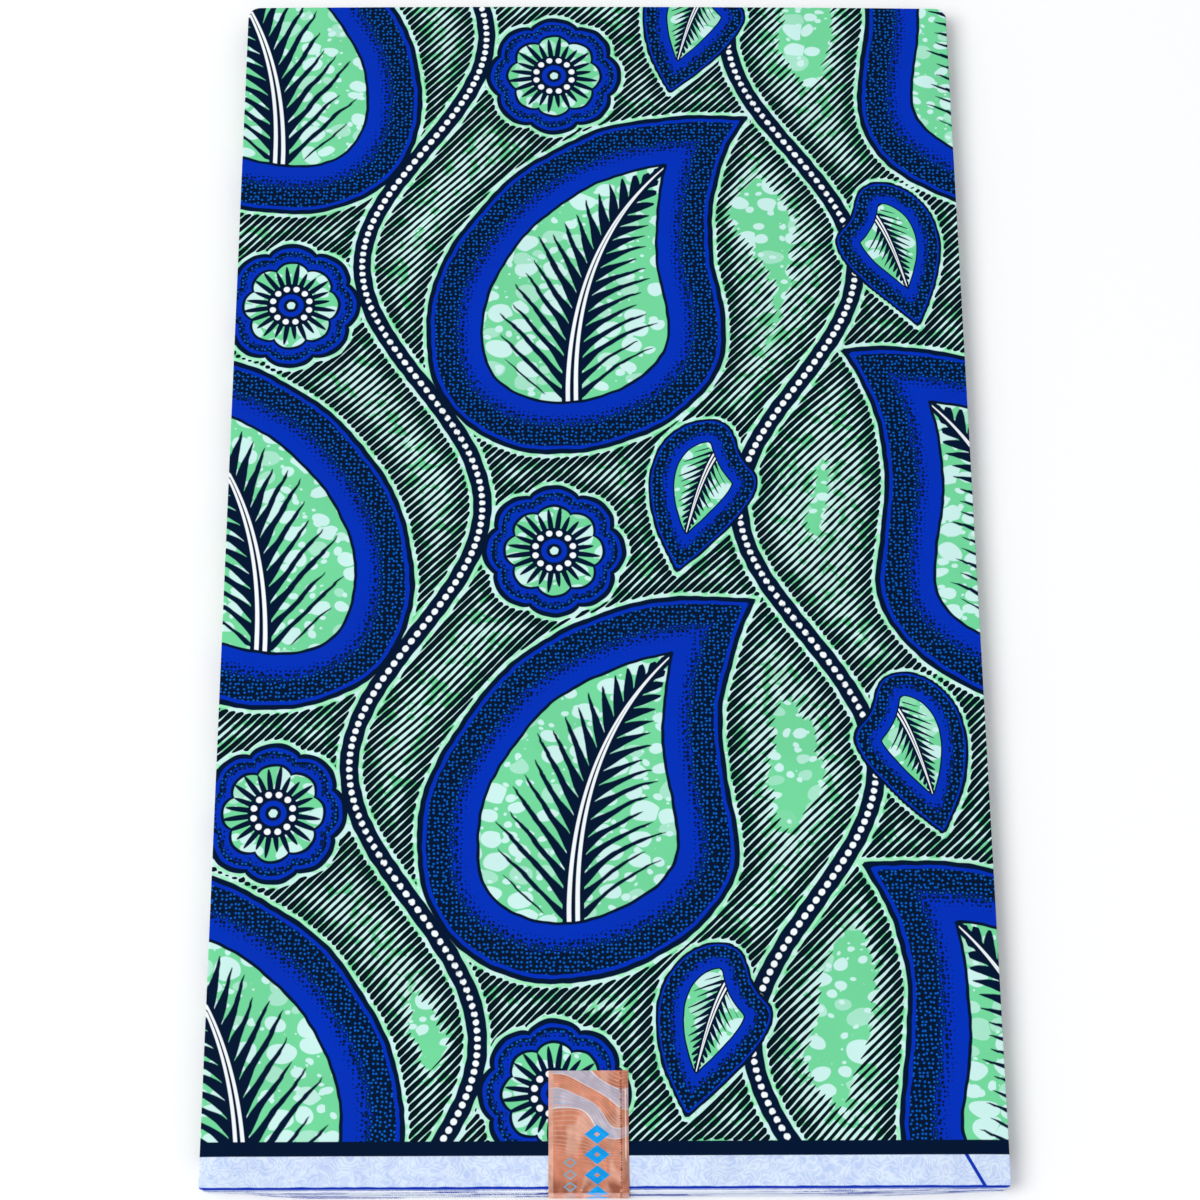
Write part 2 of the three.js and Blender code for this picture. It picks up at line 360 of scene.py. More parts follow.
# %% The repeat and its motifs
REPEAT_U = 352.0
REPEAT_V = 252.0
STEM_SWAY = 29.0
STEM_CENTRES = (88.0, 264.0)
BAND = 27.5
FLOWER_RADIUS = 33.0
NO_MOTIF = 1000.0

Leaf = namedtuple("Leaf", "base pull tip width blunt band")
LEAVES = [
    Leaf((160, 90), (146, 222), (244, 270), 142, 1.25, BAND),
    Leaf((16, -36), (30, 96), (-68, 144), 142, 1.25, BAND),
    Leaf((234, 98), (219, 94), (206, 30), 50, 1.1, 12.0),
    Leaf((-58, -28), (-43, -32), (-30, -96), 50, 1.1, 12.0),
]
FLOWERS = [(150, 41), (26, 167)]


def wrap(value, period):
    """The value moved by whole repeats until it lies around zero."""
    return (value + period / 2) % period - period / 2


def curved_line(start, pull, end, points=48):
    """A smooth line from start to end that leans towards pull."""
    t = np.linspace(0, 1, points)[:, None]
    start, pull, end = (np.array(point, float) for point in (start, pull, end))
    return (1 - t) ** 2 * start + 2 * t * (1 - t) * pull + t**2 * end


def leaf_outline(spine, leaf, points=70):
    """The outline of a leaf round its spine: round at the base and pointed at the tip."""
    steps = np.hypot(*np.diff(spine, axis=0).T)
    length = np.concatenate([[0], np.cumsum(steps)])
    turn = np.linspace(math.pi, 0, points)
    half = np.sin(turn) * np.sin(turn / 2) ** leaf.blunt
    half *= leaf.width / 2 / half.max()
    at = (1 + np.cos(turn)) / 2 * length[-1]
    centre = np.stack([np.interp(at, length, spine[:, axis]) for axis in (0, 1)], axis=1)
    along = np.gradient(centre, axis=0)
    along[0] = spine[1] - spine[0]
    along[-1] = spine[-1] - spine[-2]
    along /= np.hypot(*along.T)[:, None]
    out = np.stack([-along[:, 1], along[:, 0]], axis=1) * half[:, None]
    return np.concatenate([centre + out, (centre - out)[-2:0:-1]])


print(len(LEAVES), "leaves,", len(FLOWERS), "flowers and", len(STEM_CENTRES), "stems in a repeat of",
      REPEAT_U, "x", REPEAT_V, "mm")


# %% Distances to lines and outlines
def along_line(x, y, line):
    """How far along a line its nearest point is, and how far off to the left of it (x, y) lies."""
    best = np.full(x.shape, np.inf)
    along = np.zeros(x.shape)
    across = np.zeros(x.shape)
    passed = 0.0
    for (ax, ay), (bx, by) in zip(line[:-1], line[1:]):
        ex, ey = bx - ax, by - ay
        size = math.hypot(ex, ey)
        share = np.clip(((x - ax) * ex + (y - ay) * ey) / size**2, 0, 1)
        away = np.hypot(x - ax - share * ex, y - ay - share * ey)
        closer = away < best
        best = np.where(closer, away, best)
        along = np.where(closer, passed + share * size, along)
        across = np.where(closer, away * np.sign(ex * (y - ay) - ey * (x - ax)), across)
        passed += size
    return along, across


def outline_distance(x, y, outline):
    """How far a point is from a closed outline, negative inside it."""
    best = np.full(x.shape, np.inf)
    inside = np.zeros(x.shape, bool)
    for (ax, ay), (bx, by) in zip(outline, np.roll(outline, -1, axis=0)):
        ex, ey = bx - ax, by - ay
        share = np.clip(((x - ax) * ex + (y - ay) * ey) / (ex * ex + ey * ey), 0, 1)
        best = np.minimum(best, (x - ax - share * ex) ** 2 + (y - ay - share * ey) ** 2)
        if by != ay:
            inside ^= ((ay > y) != (by > y)) & (x < ax + (y - ay) * ex / ey)
    return np.where(inside, -1, 1) * np.sqrt(best)


def stem_place(u, v, centre, phase):
    """How far off a waving stem a point is, and how far along it."""
    turn = math.tau * (v / REPEAT_V + phase)
    off = wrap(u - centre - STEM_SWAY * np.sin(turn), REPEAT_U)
    slope = STEM_SWAY * math.tau / REPEAT_V * np.cos(turn)
    return off / np.sqrt(1 + slope**2), v + off * slope / (1 + slope**2) + centre


# %% The numbers that each point of the cloth carries
LEAF_REACH = 40.0


def leaf_numbers(u, v):
    """For each point the distance from the nearest leaf, its place along and across it, and its length.

    A small leaf is measured in larger units, so that its band and veins come out finer.
    """
    motif = np.full(u.shape, NO_MOTIF)
    along, across = np.zeros(u.shape), np.zeros(u.shape)
    length = np.ones(u.shape)
    for leaf in LEAVES:
        spine = curved_line(leaf.base, leaf.pull, leaf.tip)
        outline = leaf_outline(spine, leaf)
        centre = (outline.min(axis=0) + outline.max(axis=0)) / 2
        reach = (outline.max(axis=0) - outline.min(axis=0)) / 2 + LEAF_REACH
        x = wrap(u - centre[0], REPEAT_U) + centre[0]
        y = wrap(v - centre[1], REPEAT_V) + centre[1]
        close = np.flatnonzero((np.abs(x - centre[0]) < reach[0]) & (np.abs(y - centre[1]) < reach[1]))
        scale = BAND / leaf.band
        away = outline_distance(x[close], y[close], outline)
        away = np.where(away < 0, away * scale, away)
        better = away < motif[close]
        index = close[better]
        motif[index] = away[better]
        on_spine = along_line(x[index], y[index], spine)
        along[index] = on_spine[0] * scale
        across[index] = on_spine[1] * scale
        length[index] = np.hypot(*np.diff(spine, axis=0).T).sum() * scale
    return motif, along, across, length


def flower_numbers(u, v):
    """Where each point lies from the middle of the nearest flower, and how far that is."""
    best_x, best_y = np.full(u.shape, NO_MOTIF), np.full(u.shape, NO_MOTIF)
    for centre_u, centre_v in FLOWERS:
        x, y = wrap(u - centre_u, REPEAT_U), wrap(v - centre_v, REPEAT_V)
        closer = np.hypot(x, y) < np.hypot(best_x, best_y)
        best_x, best_y = np.where(closer, x, best_x), np.where(closer, y, best_y)
    return best_x, best_y, np.hypot(best_x, best_y)


def stem_numbers(u, v):
    """How far each point is off the nearer stem, on either side of it, and how far along it."""
    first = stem_place(u, v, STEM_CENTRES[0], 0.0)
    second = stem_place(u, v, STEM_CENTRES[1], 0.5)
    nearer = np.abs(first[0]) < np.abs(second[0])
    return np.abs(np.where(nearer, first[0], second[0])), np.where(nearer, first[1], second[1])


test_u, test_v = np.meshgrid(np.linspace(0, REPEAT_U, 60), np.linspace(0, REPEAT_V, 40))
covered = (leaf_numbers(test_u.ravel(), test_v.ravel())[0] < 0).mean()
print("leaves cover", round(100 * float(covered)), "% of the cloth")

# %% [markdown]
# ## Building a stack of layers
#
# Each cloth piece is a closed wall of rings, one above the other, and a cap. The rings pass five heights in
# each layer: the two lips of the groove, the two ends of its round, and its middle. On the face the cap is
# a fine grid, with extra lines beside the rims where the cloth curves. Corners are rounded by the map that
# turns a square into a disc, which keeps the grid a plain grid. Joining planes with modifiers would be
# quicker to write, but it could not carry the cloth coordinates round the folds.

# %% Grid lines, corners and rim
RIM_LINES = np.array([0, 0.4, 0.8, 1.3, 2, 3, 4.2, 6])
FAR_CORNER_RADIUS = 5.5
NEAR_CORNER_RADIUS = 2.2
SHARES = (0.05, 0.16, 0.5, 0.84, 0.95)


def grid_lines(low, high, pitch):
    """Lines from low to high, close together beside both rims."""
    inner_low, inner_high = low + RIM_LINES[-1], high - RIM_LINES[-1]
    inner = np.linspace(inner_low, inner_high, round((inner_high - inner_low) / pitch) + 1)
    return np.concatenate([low + RIM_LINES[:-1], inner, high - RIM_LINES[-2::-1]])


def round_corners(x, y):
    """The points of a rectangle's grid, with the four corners drawn in to arcs."""
    x, y = x.copy(), y.copy()
    from_side = HALF_WIDTH - np.abs(x)
    for end, inwards, radius in ((NEAR_Y, 1, NEAR_CORNER_RADIUS), (FAR_Y, -1, FAR_CORNER_RADIUS)):
        from_end = (y - end) * inwards
        here = (from_side < radius) & (from_end < radius)
        a, b = 1 - from_side[here] / radius, 1 - from_end[here] / radius
        x[here] = np.sign(x[here]) * (HALF_WIDTH - radius + radius * a * np.sqrt(1 - b * b / 2))
        y[here] = end + inwards * (radius - radius * b * np.sqrt(1 - a * a / 2))
    return x, y


def rim_of(columns, rows):
    """The numbers of a grid's rim points, anticlockwise from above."""
    number = np.arange(columns * rows).reshape(rows, columns)
    return np.concatenate([number[0], number[1:, -1], number[-1, -2::-1], number[-2:0:-1, 0]])


def grid_quads(number):
    """The four corners of each square of a numbered grid."""
    return [number[:-1, :-1], number[:-1, 1:], number[1:, 1:], number[1:, :-1]]


def ring_heights(first, last):
    """The heights of the rings from layer first up to layer last."""
    heights = [layer + share for layer in range(first, last) for share in SHARES]
    if first == 0:
        heights[0] = 0.0
    if last == LAYERS:
        heights[-1] = float(LAYERS)
    return heights


print("rings round the top plait:", len(ring_heights(LAYERS - PLAIT_LAYERS, LAYERS)))

# %% Cloth coordinates round the folds
TURN_RUN = 2.0


def wall_coordinates(x, y, height):
    """u and v of the cloth that shows at a height on the sides, so that the print runs on round the folds."""
    from_top = min(LAYERS - 1, int(LAYERS - height))
    panel = from_top // 2
    if panel % 2 == 0:
        u = x + HALF_WIDTH - panel * PANEL_WIDTH
    else:
        u = -(x + HALF_WIDTH) - (panel - 1) * PANEL_WIDTH
    at_side = np.clip(1 - (HALF_WIDTH - np.abs(x)) / TURN_RUN, 0, 1)
    left = fold_at(height, LEFT_FOLDS, 0)
    right = fold_at(height, RIGHT_FOLDS, 0)
    free_end = right.from_top in (0, len(RIGHT_FOLDS) - 2)
    right_sign = -1 if free_end else 1
    turned = np.where(x < 0, height - left.middle, right_sign * (height - right.middle)) * LAYER
    at_far = np.clip(1 - (FAR_Y - y) / TURN_RUN, 0, 1)
    far = fold_at(height, FAR_FOLDS, 0)
    bowed = FAR_BOW * (x / HALF_WIDTH) ** 2
    v = y - NEAR_Y - at_far * ((height - far.middle) * LAYER + bowed)
    return u + at_side * turned, v


# %% One closed stack as a mesh
Stack = namedtuple("Stack", "points faces u v edge")
Row = namedtuple("Row", "x y z u v near from_top share")
CUFF_RUN = 1.0
UNDERSIDE = 1
FACE = 2


def wall_row(x, y, height):
    """One ring of the wall round the outline's points, with its cloth coordinates and place in the stack."""
    layer = min(LAYERS - 1, int(height))
    near = np.clip(1 - (y - NEAR_Y) / CUFF_RUN, 0, 1) * (height < LAYERS)
    lies_x, lies_y = place(x, y, height)
    lies = (lies_x, lies_y, height_at(lies_x, lies_y, height))
    return Row(*lies, *wall_coordinates(x, y, height), near, LAYERS - 1 - layer, height - layer)


def stack_of_layers(first, last, pitch, grid_on=None, press=None):
    """The closed stack from layer first up to layer last, with a fine grid on its face or its underside."""
    xs, ys = grid_lines(-HALF_WIDTH, HALF_WIDTH, pitch), grid_lines(NEAR_Y, FAR_Y, pitch)
    grid_x, grid_y = (side.ravel() for side in round_corners(*np.meshgrid(xs, ys)))
    rim = rim_of(len(xs), len(ys))
    inner = np.setdiff1d(np.arange(len(grid_x)), rim)
    heights = ring_heights(first, last)
    rows = [wall_row(grid_x[rim], grid_y[rim], height) for height in heights]
    top, bottom = heights[-1], heights[0]
    if grid_on == FACE:
        x, y = place(grid_x[inner], grid_y[inner], top)
        rows[-1] = rows[-1]._replace(u=rows[-1].x + HALF_WIDTH, v=rows[-1].y - NEAR_Y)
        rows.append(Row(x, y, height_at(x, y, top), x + HALF_WIDTH, y - NEAR_Y, 0, 0, 0))
    elif grid_on == UNDERSIDE:
        x, y = place(grid_x[inner], grid_y[inner], bottom)
        u, v = wall_coordinates(grid_x[inner], grid_y[inner], bottom)
        rows.append(Row(x, y, height_at(x, y, bottom), u, v, 0, LAYERS - 1, 0))
    centres = []
    for facing, height in ((UNDERSIDE, bottom), (FACE, top)):
        if grid_on != facing:
            centres.append((facing, sum(len(row.x) for row in rows)))
            middle = np.array([0.0])
            rows.append(Row(middle, middle + MIDDLE_Y, middle + height * LAYER, middle, middle, 0, 0, 0))
    spread = [[np.broadcast_to(column, row.x.shape) for column in row] for row in rows]
    columns = Row(*(np.concatenate(parts) for parts in zip(*spread)))
    points = np.stack([columns.x, columns.y, columns.z], axis=1)
    if press is not None:
        points[:, 2] = press(*points.T)
    faces = stack_faces(len(heights), rim, inner, (len(ys), len(xs)), grid_on, centres)
    return Stack(points, faces, columns.u, columns.v, (columns.near, columns.from_top, columns.share))


def stack_faces(rings, rim, inner, grid_shape, grid_on, centres):
    """The faces of a stack: its walls, its grid, and a fan round the middle of each end that has no grid."""
    count = len(rim)
    around = np.arange(count)
    onward = (around + 1) % count
    faces = []
    for ring in range(rings - 1):
        low = ring * count
        high = low + count
        faces += np.stack([low + around, low + onward, high + onward, high + around], 1).tolist()
    last_ring = (rings - 1) * count
    if grid_on is not None:
        number = np.empty(len(rim) + len(inner), int)
        number[rim] = (last_ring if grid_on == FACE else 0) + around
        number[inner] = rings * count + np.arange(len(inner))
        quads = grid_quads(number.reshape(grid_shape))
        quads = quads if grid_on == FACE else quads[::-1]
        faces += np.stack([quad.ravel() for quad in quads], 1).tolist()
    for facing, centre in centres:
        low = 0 if facing == UNDERSIDE else last_ring
        hub = np.full(count, centre)
        spokes = [hub, low + around, low + onward] if facing == FACE else [hub, low + onward, low + around]
        faces += np.stack(spokes, 1).tolist()
    return faces


# %% [markdown]
# ## From a stack to an object
#
# The UV map of the cloth is in millimetres of cloth, so a weave or a line keeps its real size wherever it
# is. The motif numbers ride along as attributes of the points. Blender smooths them over each face for the
# shader.

# %% Mesh, UV map and attributes
SHARP_ANGLE = math.radians(48)


def smooth_mesh(name, points, faces):
    """A mesh in metres from points in millimetres, shaded smooth but for its sharp edges."""
    mesh = bpy.data.meshes.new(name)
    mesh.from_pydata((np.array(points) * MM).tolist(), [], faces)
    mesh.shade_smooth()
    mesh.set_sharp_from_angle(angle=SHARP_ANGLE)
    return mesh


def add_vectors(mesh, name, *columns):
    """Stores three numbers at each point of the mesh."""
    attribute = mesh.attributes.new(name, "FLOAT_VECTOR", "POINT")
    attribute.data.foreach_set("vector", np.stack(columns, axis=1).astype(np.float32).ravel())


def add_cloth_map(mesh, u, v):
    """Stores the cloth coordinates as the mesh's UV map."""
    corner_points = np.empty(len(mesh.loops), np.int32)
    mesh.loops.foreach_get("vertex_index", corner_points)
    pairs = np.stack([u[corner_points], v[corner_points]], axis=1)
    mesh.uv_layers.new(name="cloth").data.foreach_set("uv", pairs.astype(np.float32).ravel())


def print_triangles(piece):
    """Says how many triangles a piece has."""
    print(piece.name, "has", sum(len(face.vertices) - 2 for face in piece.data.polygons), "triangles")


def cloth_object(name, stack, material):
    """A stack of layers as a finished object in metres, with its print laid out."""
    mesh = smooth_mesh(name, stack.points, stack.faces)
    add_cloth_map(mesh, stack.u, stack.v)
    motif, along, across, length = leaf_numbers(stack.u, stack.v)
    off_stem, on_stem = stem_numbers(stack.u, stack.v)
    add_vectors(mesh, "leaf", motif, along, across)
    add_vectors(mesh, "stem", off_stem, on_stem, length)
    add_vectors(mesh, "flower", *flower_numbers(stack.u, stack.v))
    add_vectors(mesh, "edge", *stack.edge)
    mesh.materials.append(material)
    piece = add_object(name, mesh)
    print_triangles(piece)
    return piece


# %% [markdown]
# ## Arithmetic with nodes
#
# The print needs many small sums. Placing a Math node for each by hand hides what they say, so a Value
# stands for a node's output here, and adding or multiplying two Values adds the node. The formulas below
# then read like the arithmetic that they are.

# %% Values that grow nodes
class Value:
    """A number that changes over the surface."""

    def __init__(self, tree, socket):
        self.tree = tree
        self.socket = socket

    def __add__(self, other):
        return calculate("ADD", self, other)

    def __sub__(self, other):
        return calculate("SUBTRACT", self, other)

    def __rsub__(self, other):
        return calculate("SUBTRACT", other, self)

    def __mul__(self, other):
        return calculate("MULTIPLY", self, other)

    def __truediv__(self, other):
        return calculate("DIVIDE", self, other)

    def __pow__(self, other):
        return calculate("POWER", self, other)

    def __abs__(self):
        return calculate("ABSOLUTE", self)

    __radd__ = __add__
    __rmul__ = __mul__


def feed(socket, value):
    """Sets a socket, or links it where the value varies."""
    if isinstance(value, Value):
        value.tree.links.new(value.socket, socket)
    else:
        socket.default_value = value


def tree_of(*values):
    """The node tree that the first varying value is in."""
    return next(value.tree for value in values if isinstance(value, Value))


def calculate(operation, *values):
    """One Math node."""
    tree = tree_of(*values)
    node = tree.nodes.new("ShaderNodeMath")
    node.operation = operation
    for socket, value in zip(node.inputs, values):
        feed(socket, value)
    return Value(tree, node.outputs[0])


def smooth(value, low, high):
    """0 at low and 1 at high, with a smooth rise. With low above high it falls instead."""
    node = value.tree.nodes.new("ShaderNodeMapRange")
    node.interpolation_type = "SMOOTHSTEP"
    feed(node.inputs["Value"], value)
    feed(node.inputs["From Min"], low)
    feed(node.inputs["From Max"], high)
    return Value(value.tree, node.outputs["Result"])


def clamp(value):
    """The value held between 0 and 1."""
    node = value.tree.nodes.new("ShaderNodeClamp")
    feed(node.inputs["Value"], value)
    return Value(value.tree, node.outputs[0])


def inside(distance, soft=0.2):
    """1 where a distance is negative, with an edge as soft as dye in cotton."""
    return smooth(distance, soft, -soft)


# %% Textures and colours as values
PAINT_UNDER, PAINT_OVER, PAINT_RESULT = 6, 7, 2


def vector(x, y):
    """Two values as one vector."""
    tree = tree_of(x, y)
    node = tree.nodes.new("ShaderNodeCombineXYZ")
    feed(node.inputs[0], x)
    feed(node.inputs[1], y)
    return Value(tree, node.outputs[0])


def split(value, kind="ShaderNodeSeparateXYZ"):
    """A vector's or a colour's three values."""
    node = value.tree.nodes.new(kind)
    feed(node.inputs[0], value)
    return [Value(value.tree, output) for output in node.outputs]


def noise_node(x, y, detail):
    """A smooth noise about one half, one unit of x or y to a bump."""
    node = tree_of(x, y).nodes.new("ShaderNodeTexNoise")
    node.noise_dimensions = "2D"
    feed(node.inputs["Vector"], vector(x, y))
    node.inputs["Scale"].default_value = 1.0
    node.inputs["Detail"].default_value = detail
    return node


def noise(x, y, detail=0.0):
    """One smooth noise. It is three times as quick as three of them."""
    return Value(tree_of(x, y), noise_node(x, y, detail).outputs[0])


def noises(x, y, detail=0.0):
    """Three different smooth noises."""
    node = noise_node(x, y, detail)
    return split(Value(tree_of(x, y), node.outputs["Color"]), "ShaderNodeSeparateColor")


def cells(x, y, randomness):
    """The distance from the middle of a scattered cell, and three random numbers of it."""
    tree = tree_of(x, y)
    node = tree.nodes.new("ShaderNodeTexVoronoi")
    node.voronoi_dimensions = "2D"
    feed(node.inputs["Vector"], vector(x, y))
    node.inputs["Scale"].default_value = 1.0
    node.inputs["Randomness"].default_value = randomness
    distance = Value(tree, node.outputs["Distance"])
    return distance, split(Value(tree, node.outputs["Color"]), "ShaderNodeSeparateColor")


def random_of(x, y):
    """A random number for each pair of whole numbers."""
    tree = tree_of(x, y)
    node = tree.nodes.new("ShaderNodeTexWhiteNoise")
    node.noise_dimensions = "2D"
    feed(node.inputs["Vector"], vector(x, y))
    return Value(tree, node.outputs["Value"])


def paint(under, *coats):
    """The colour under, with coats of (colour, mask) laid on it one by one, each where its mask is 1."""
    for over, mask in coats:
        node = mask.tree.nodes.new("ShaderNodeMix")
        node.data_type = "RGBA"
        feed(node.inputs[0], mask)
        feed(node.inputs[PAINT_UNDER], under)
        feed(node.inputs[PAINT_OVER], over)
        under = Value(mask.tree, node.outputs[PAINT_RESULT])
    return under


def sine(x):
    """The sine of a value that counts whole waves."""
    return calculate("SINE", x * math.tau)


def length_of(x, y):
    """The length of the vector from zero to (x, y)."""
    return calculate("SQRT", x * x + y * y)


# %% What the mesh tells a material, and what the material returns
def map_place(tree):
    """The place in the piece's own map, in millimetres."""
    node = tree.nodes.new("ShaderNodeUVMap")
    node.uv_map = "cloth"
    return Value(tree, node.outputs["UV"])


def pack_place(tree):
    """The place in the pack, x, y and z in millimetres."""
    metres = Value(tree, tree.nodes.new("ShaderNodeTexCoord").outputs["Object"])
    return [value / MM for value in split(metres)]


def point_numbers(tree, name):
    """The three numbers that the mesh stores at its points under a name."""
    node = tree.nodes.new("ShaderNodeAttribute")
    node.attribute_name = name
    return split(Value(tree, node.outputs["Vector"]))


def scaled(color, shade):
    """The colour times a value."""
    node = color.tree.nodes.new("ShaderNodeVectorMath")
    node.operation = "SCALE"
    feed(node.inputs[0], color)
    feed(node.inputs["Scale"], shade)
    return Value(color.tree, node.outputs[0])


def add_bump(shader, height, strength, depth):
    """Feeds the shader's Normal from a height, which is depth metres at 1."""
    bump = height.tree.nodes.new("ShaderNodeBump")
    bump.inputs["Strength"].default_value = strength
    bump.inputs["Distance"].default_value = depth
    feed(bump.inputs["Height"], height)
    feed(shader.inputs["Normal"], Value(height.tree, bump.outputs["Normal"]))


# %% [markdown]
# ## Masks that two materials share
#
# Handling marks both the cloth and the foil, and the blue of the stacked edges is on the cloth and on its
# threads. Such a mask is worked out once, in a node group with named inputs, and each material places it
# with its own values. Copying the nodes would work too, but then one copy could be changed without the
# other.

# %% Groups that put out a mask
def mask_group(name, kinds, rule):
    """A node group with named inputs that puts out one mask, which the rule works out from them."""
    group = bpy.data.node_groups.new(name, "ShaderNodeTree")
    for label, kind in kinds.items():
        group.interface.new_socket(name=label, in_out="INPUT", socket_type=kind)
    group.interface.new_socket(name="Mask", in_out="OUTPUT", socket_type="NodeSocketFloat")
    given = group.nodes.new("NodeGroupInput")
    made = group.nodes.new("NodeGroupOutput")
    feed(made.inputs["Mask"], rule(*(Value(group, given.outputs[label]) for label in kinds)))
    print("group", name, "with", len(group.nodes), "nodes")
    return group


def mask_from(group, tree, values):
    """The mask of a group that is placed in a material with these values."""
    node = tree.nodes.new("ShaderNodeGroup")
    node.node_tree = group
    for label, value in values.items():
        feed(node.inputs[label], value)
    return Value(tree, node.outputs["Mask"])


# %% Handling mottle and stacked blue
MOTTLE_RISE = (0.30, 0.70)
STACK_RUN = 46.0
STACK_STEP = 0.31
STACK_RISE = (0.58, 0.63)
STACK_LINE = 17.0
STACK_LINE_HALF = 1.4
STACK_LINE_FADE = (-120.0, -70.0)


def mottled(spot, size):
    """Soft patches of that size, in millimetres."""
    x, y, _ = split(spot)
    return smooth(noise(x / size, y / size, 1.0), *MOTTLE_RISE)


def stack_blue(x, from_top):
    """1 where the lower selvedges show blue: short runs, and one long line of edges that stand out."""
    runs = smooth(noise(x / STACK_RUN, from_top * STACK_STEP), *STACK_RISE)
    line = inside(abs(from_top - STACK_LINE) - STACK_LINE_HALF) * smooth(x, *STACK_LINE_FADE)
    return calculate("MAXIMUM", runs, line)


FLOAT, PLACE = "NodeSocketFloat", "NodeSocketVector"
MOTTLE = mask_group("handling_mottle", {"Place": PLACE, "Size": FLOAT}, mottled)
STACK_BLUE = mask_group("stacked_blue", {"Along": FLOAT, "From Top": FLOAT}, stack_blue)

# %% [markdown]
# ## The print, part two: the dyes
#
# A wax print has few dyes: an indigo so dark that it is nearly black, a strong blue and a mint ground.
# Where the resin kept the ground dye out, the cloth stays almost white. Every colour below is one of them.

# %% Dyes
NAVY = srgb(0, 20, 49)
INK = srgb(0, 18, 28)
BLUE = srgb(0, 48, 182)
DOT_BLUE = srgb(6, 92, 190)
MINT = srgb(114, 214, 155)
PALE = srgb(202, 240, 234)
HALO = srgb(160, 236, 190)
WHITE = srgb(242, 248, 250)
SELVEDGE_WHITE = srgb(219, 232, 249)
SELVEDGE_BLUE = srgb(166, 188, 238)
EDGE_BLUE = srgb(12, 52, 176)
STACKED_WHITE = srgb(238, 244, 253)
STACKED_BLUE = srgb(60, 92, 186)

# %% [markdown]
# ## Bubbles
#
# The pale bubbles are drops of resin that spread and dried on the cloth. Two sizes of scattered cells make
# them. Each cell has its own radius, some have none, some let a little dye through, and a slow noise pulls
# them out of round.

# %% Bubbles
BUBBLE_LARGE = (13.0, 9.6)
BUBBLE_SMALL = (5.2, 4.2)
BUBBLE_SCATTER = 0.68
BUBBLE_WARP = 4.0
BUBBLE_WARP_RUN = 13.0
BUBBLE_LEAST = 0.20
BUBBLE_VARY = 0.30
BUBBLE_EDGE = 0.022
BUBBLE_NONE = 0.09
BUBBLE_FAINT = 0.22
SMALL_SCATTER = 0.9
SMALL_SHARE = 0.50
SMALL_VARY = 0.84
SMALL_EDGE = 0.05
CHANCE_STEP = 0.02


def bubbles(u, v):
    """1 inside a pale bubble of the ground, and one half in a faint one."""
    pull_u, pull_v, _ = noises(u / BUBBLE_WARP_RUN, v / BUBBLE_WARP_RUN)
    wu = u + BUBBLE_WARP * (pull_u - 0.5)
    wv = v + BUBBLE_WARP * (pull_v - 0.5)
    away, chance = cells(wu / BUBBLE_LARGE[0], wv / BUBBLE_LARGE[1], BUBBLE_SCATTER)
    large = inside(away - BUBBLE_LEAST - BUBBLE_VARY * chance[0], BUBBLE_EDGE)
    large = large * smooth(chance[1], BUBBLE_NONE, BUBBLE_NONE + CHANCE_STEP)
    large = large * (0.5 + 0.5 * smooth(chance[2], BUBBLE_FAINT, BUBBLE_FAINT + CHANCE_STEP))
    away, chance = cells(wu / BUBBLE_SMALL[0], wv / BUBBLE_SMALL[1], SMALL_SCATTER)
    small = inside(away - SMALL_VARY * (chance[0] - SMALL_SHARE), SMALL_EDGE)
    return calculate("MAXIMUM", large, small)


# %% [markdown]
# ## Hatching
#
# Between the motifs the ground is hatched by hand: close slanting strokes that start thick and round at the
# pale halo of a motif, grow thinner away from it, and stop at an open patch of plain ground. Each stroke is
# a numbered stripe across the slant, so each can have its own length and thickness.

# %% Hatching
STROKE_PITCH = 2.9
STROKE_START = 1.5
STROKE_ROUND = 1.0
STROKE_TAPER = 4.0
STROKE_DRIFT = 1.1
STROKE_WIDTH = 0.43
STROKE_THINNER = 0.17
STROKE_THIN_RISE = (2.0, 15.0)
STROKE_RAGGED = 0.10
STROKE_RAGGED_RUN = 5.0
STROKE_RAGGED_STEP = 1.7
STROKE_UNEVEN = 0.05
STROKE_EDGE = 0.05
STROKE_LEAST = (0.03, 0.06)
OPEN_FROM = 20.5
OPEN_VARY = 30.0
OPEN_MIDDLE = 0.42
OPEN_UNEVEN = 2.6
OPEN_RUN = 58.0
STREAK_RUN = 8.0
STREAK_STEP = 2.3
STREAK_START = 40.0
STREAK_RISE = (0.44, 0.50)
STREAK_FADE = 2.0
SLANT = math.sqrt(0.5)


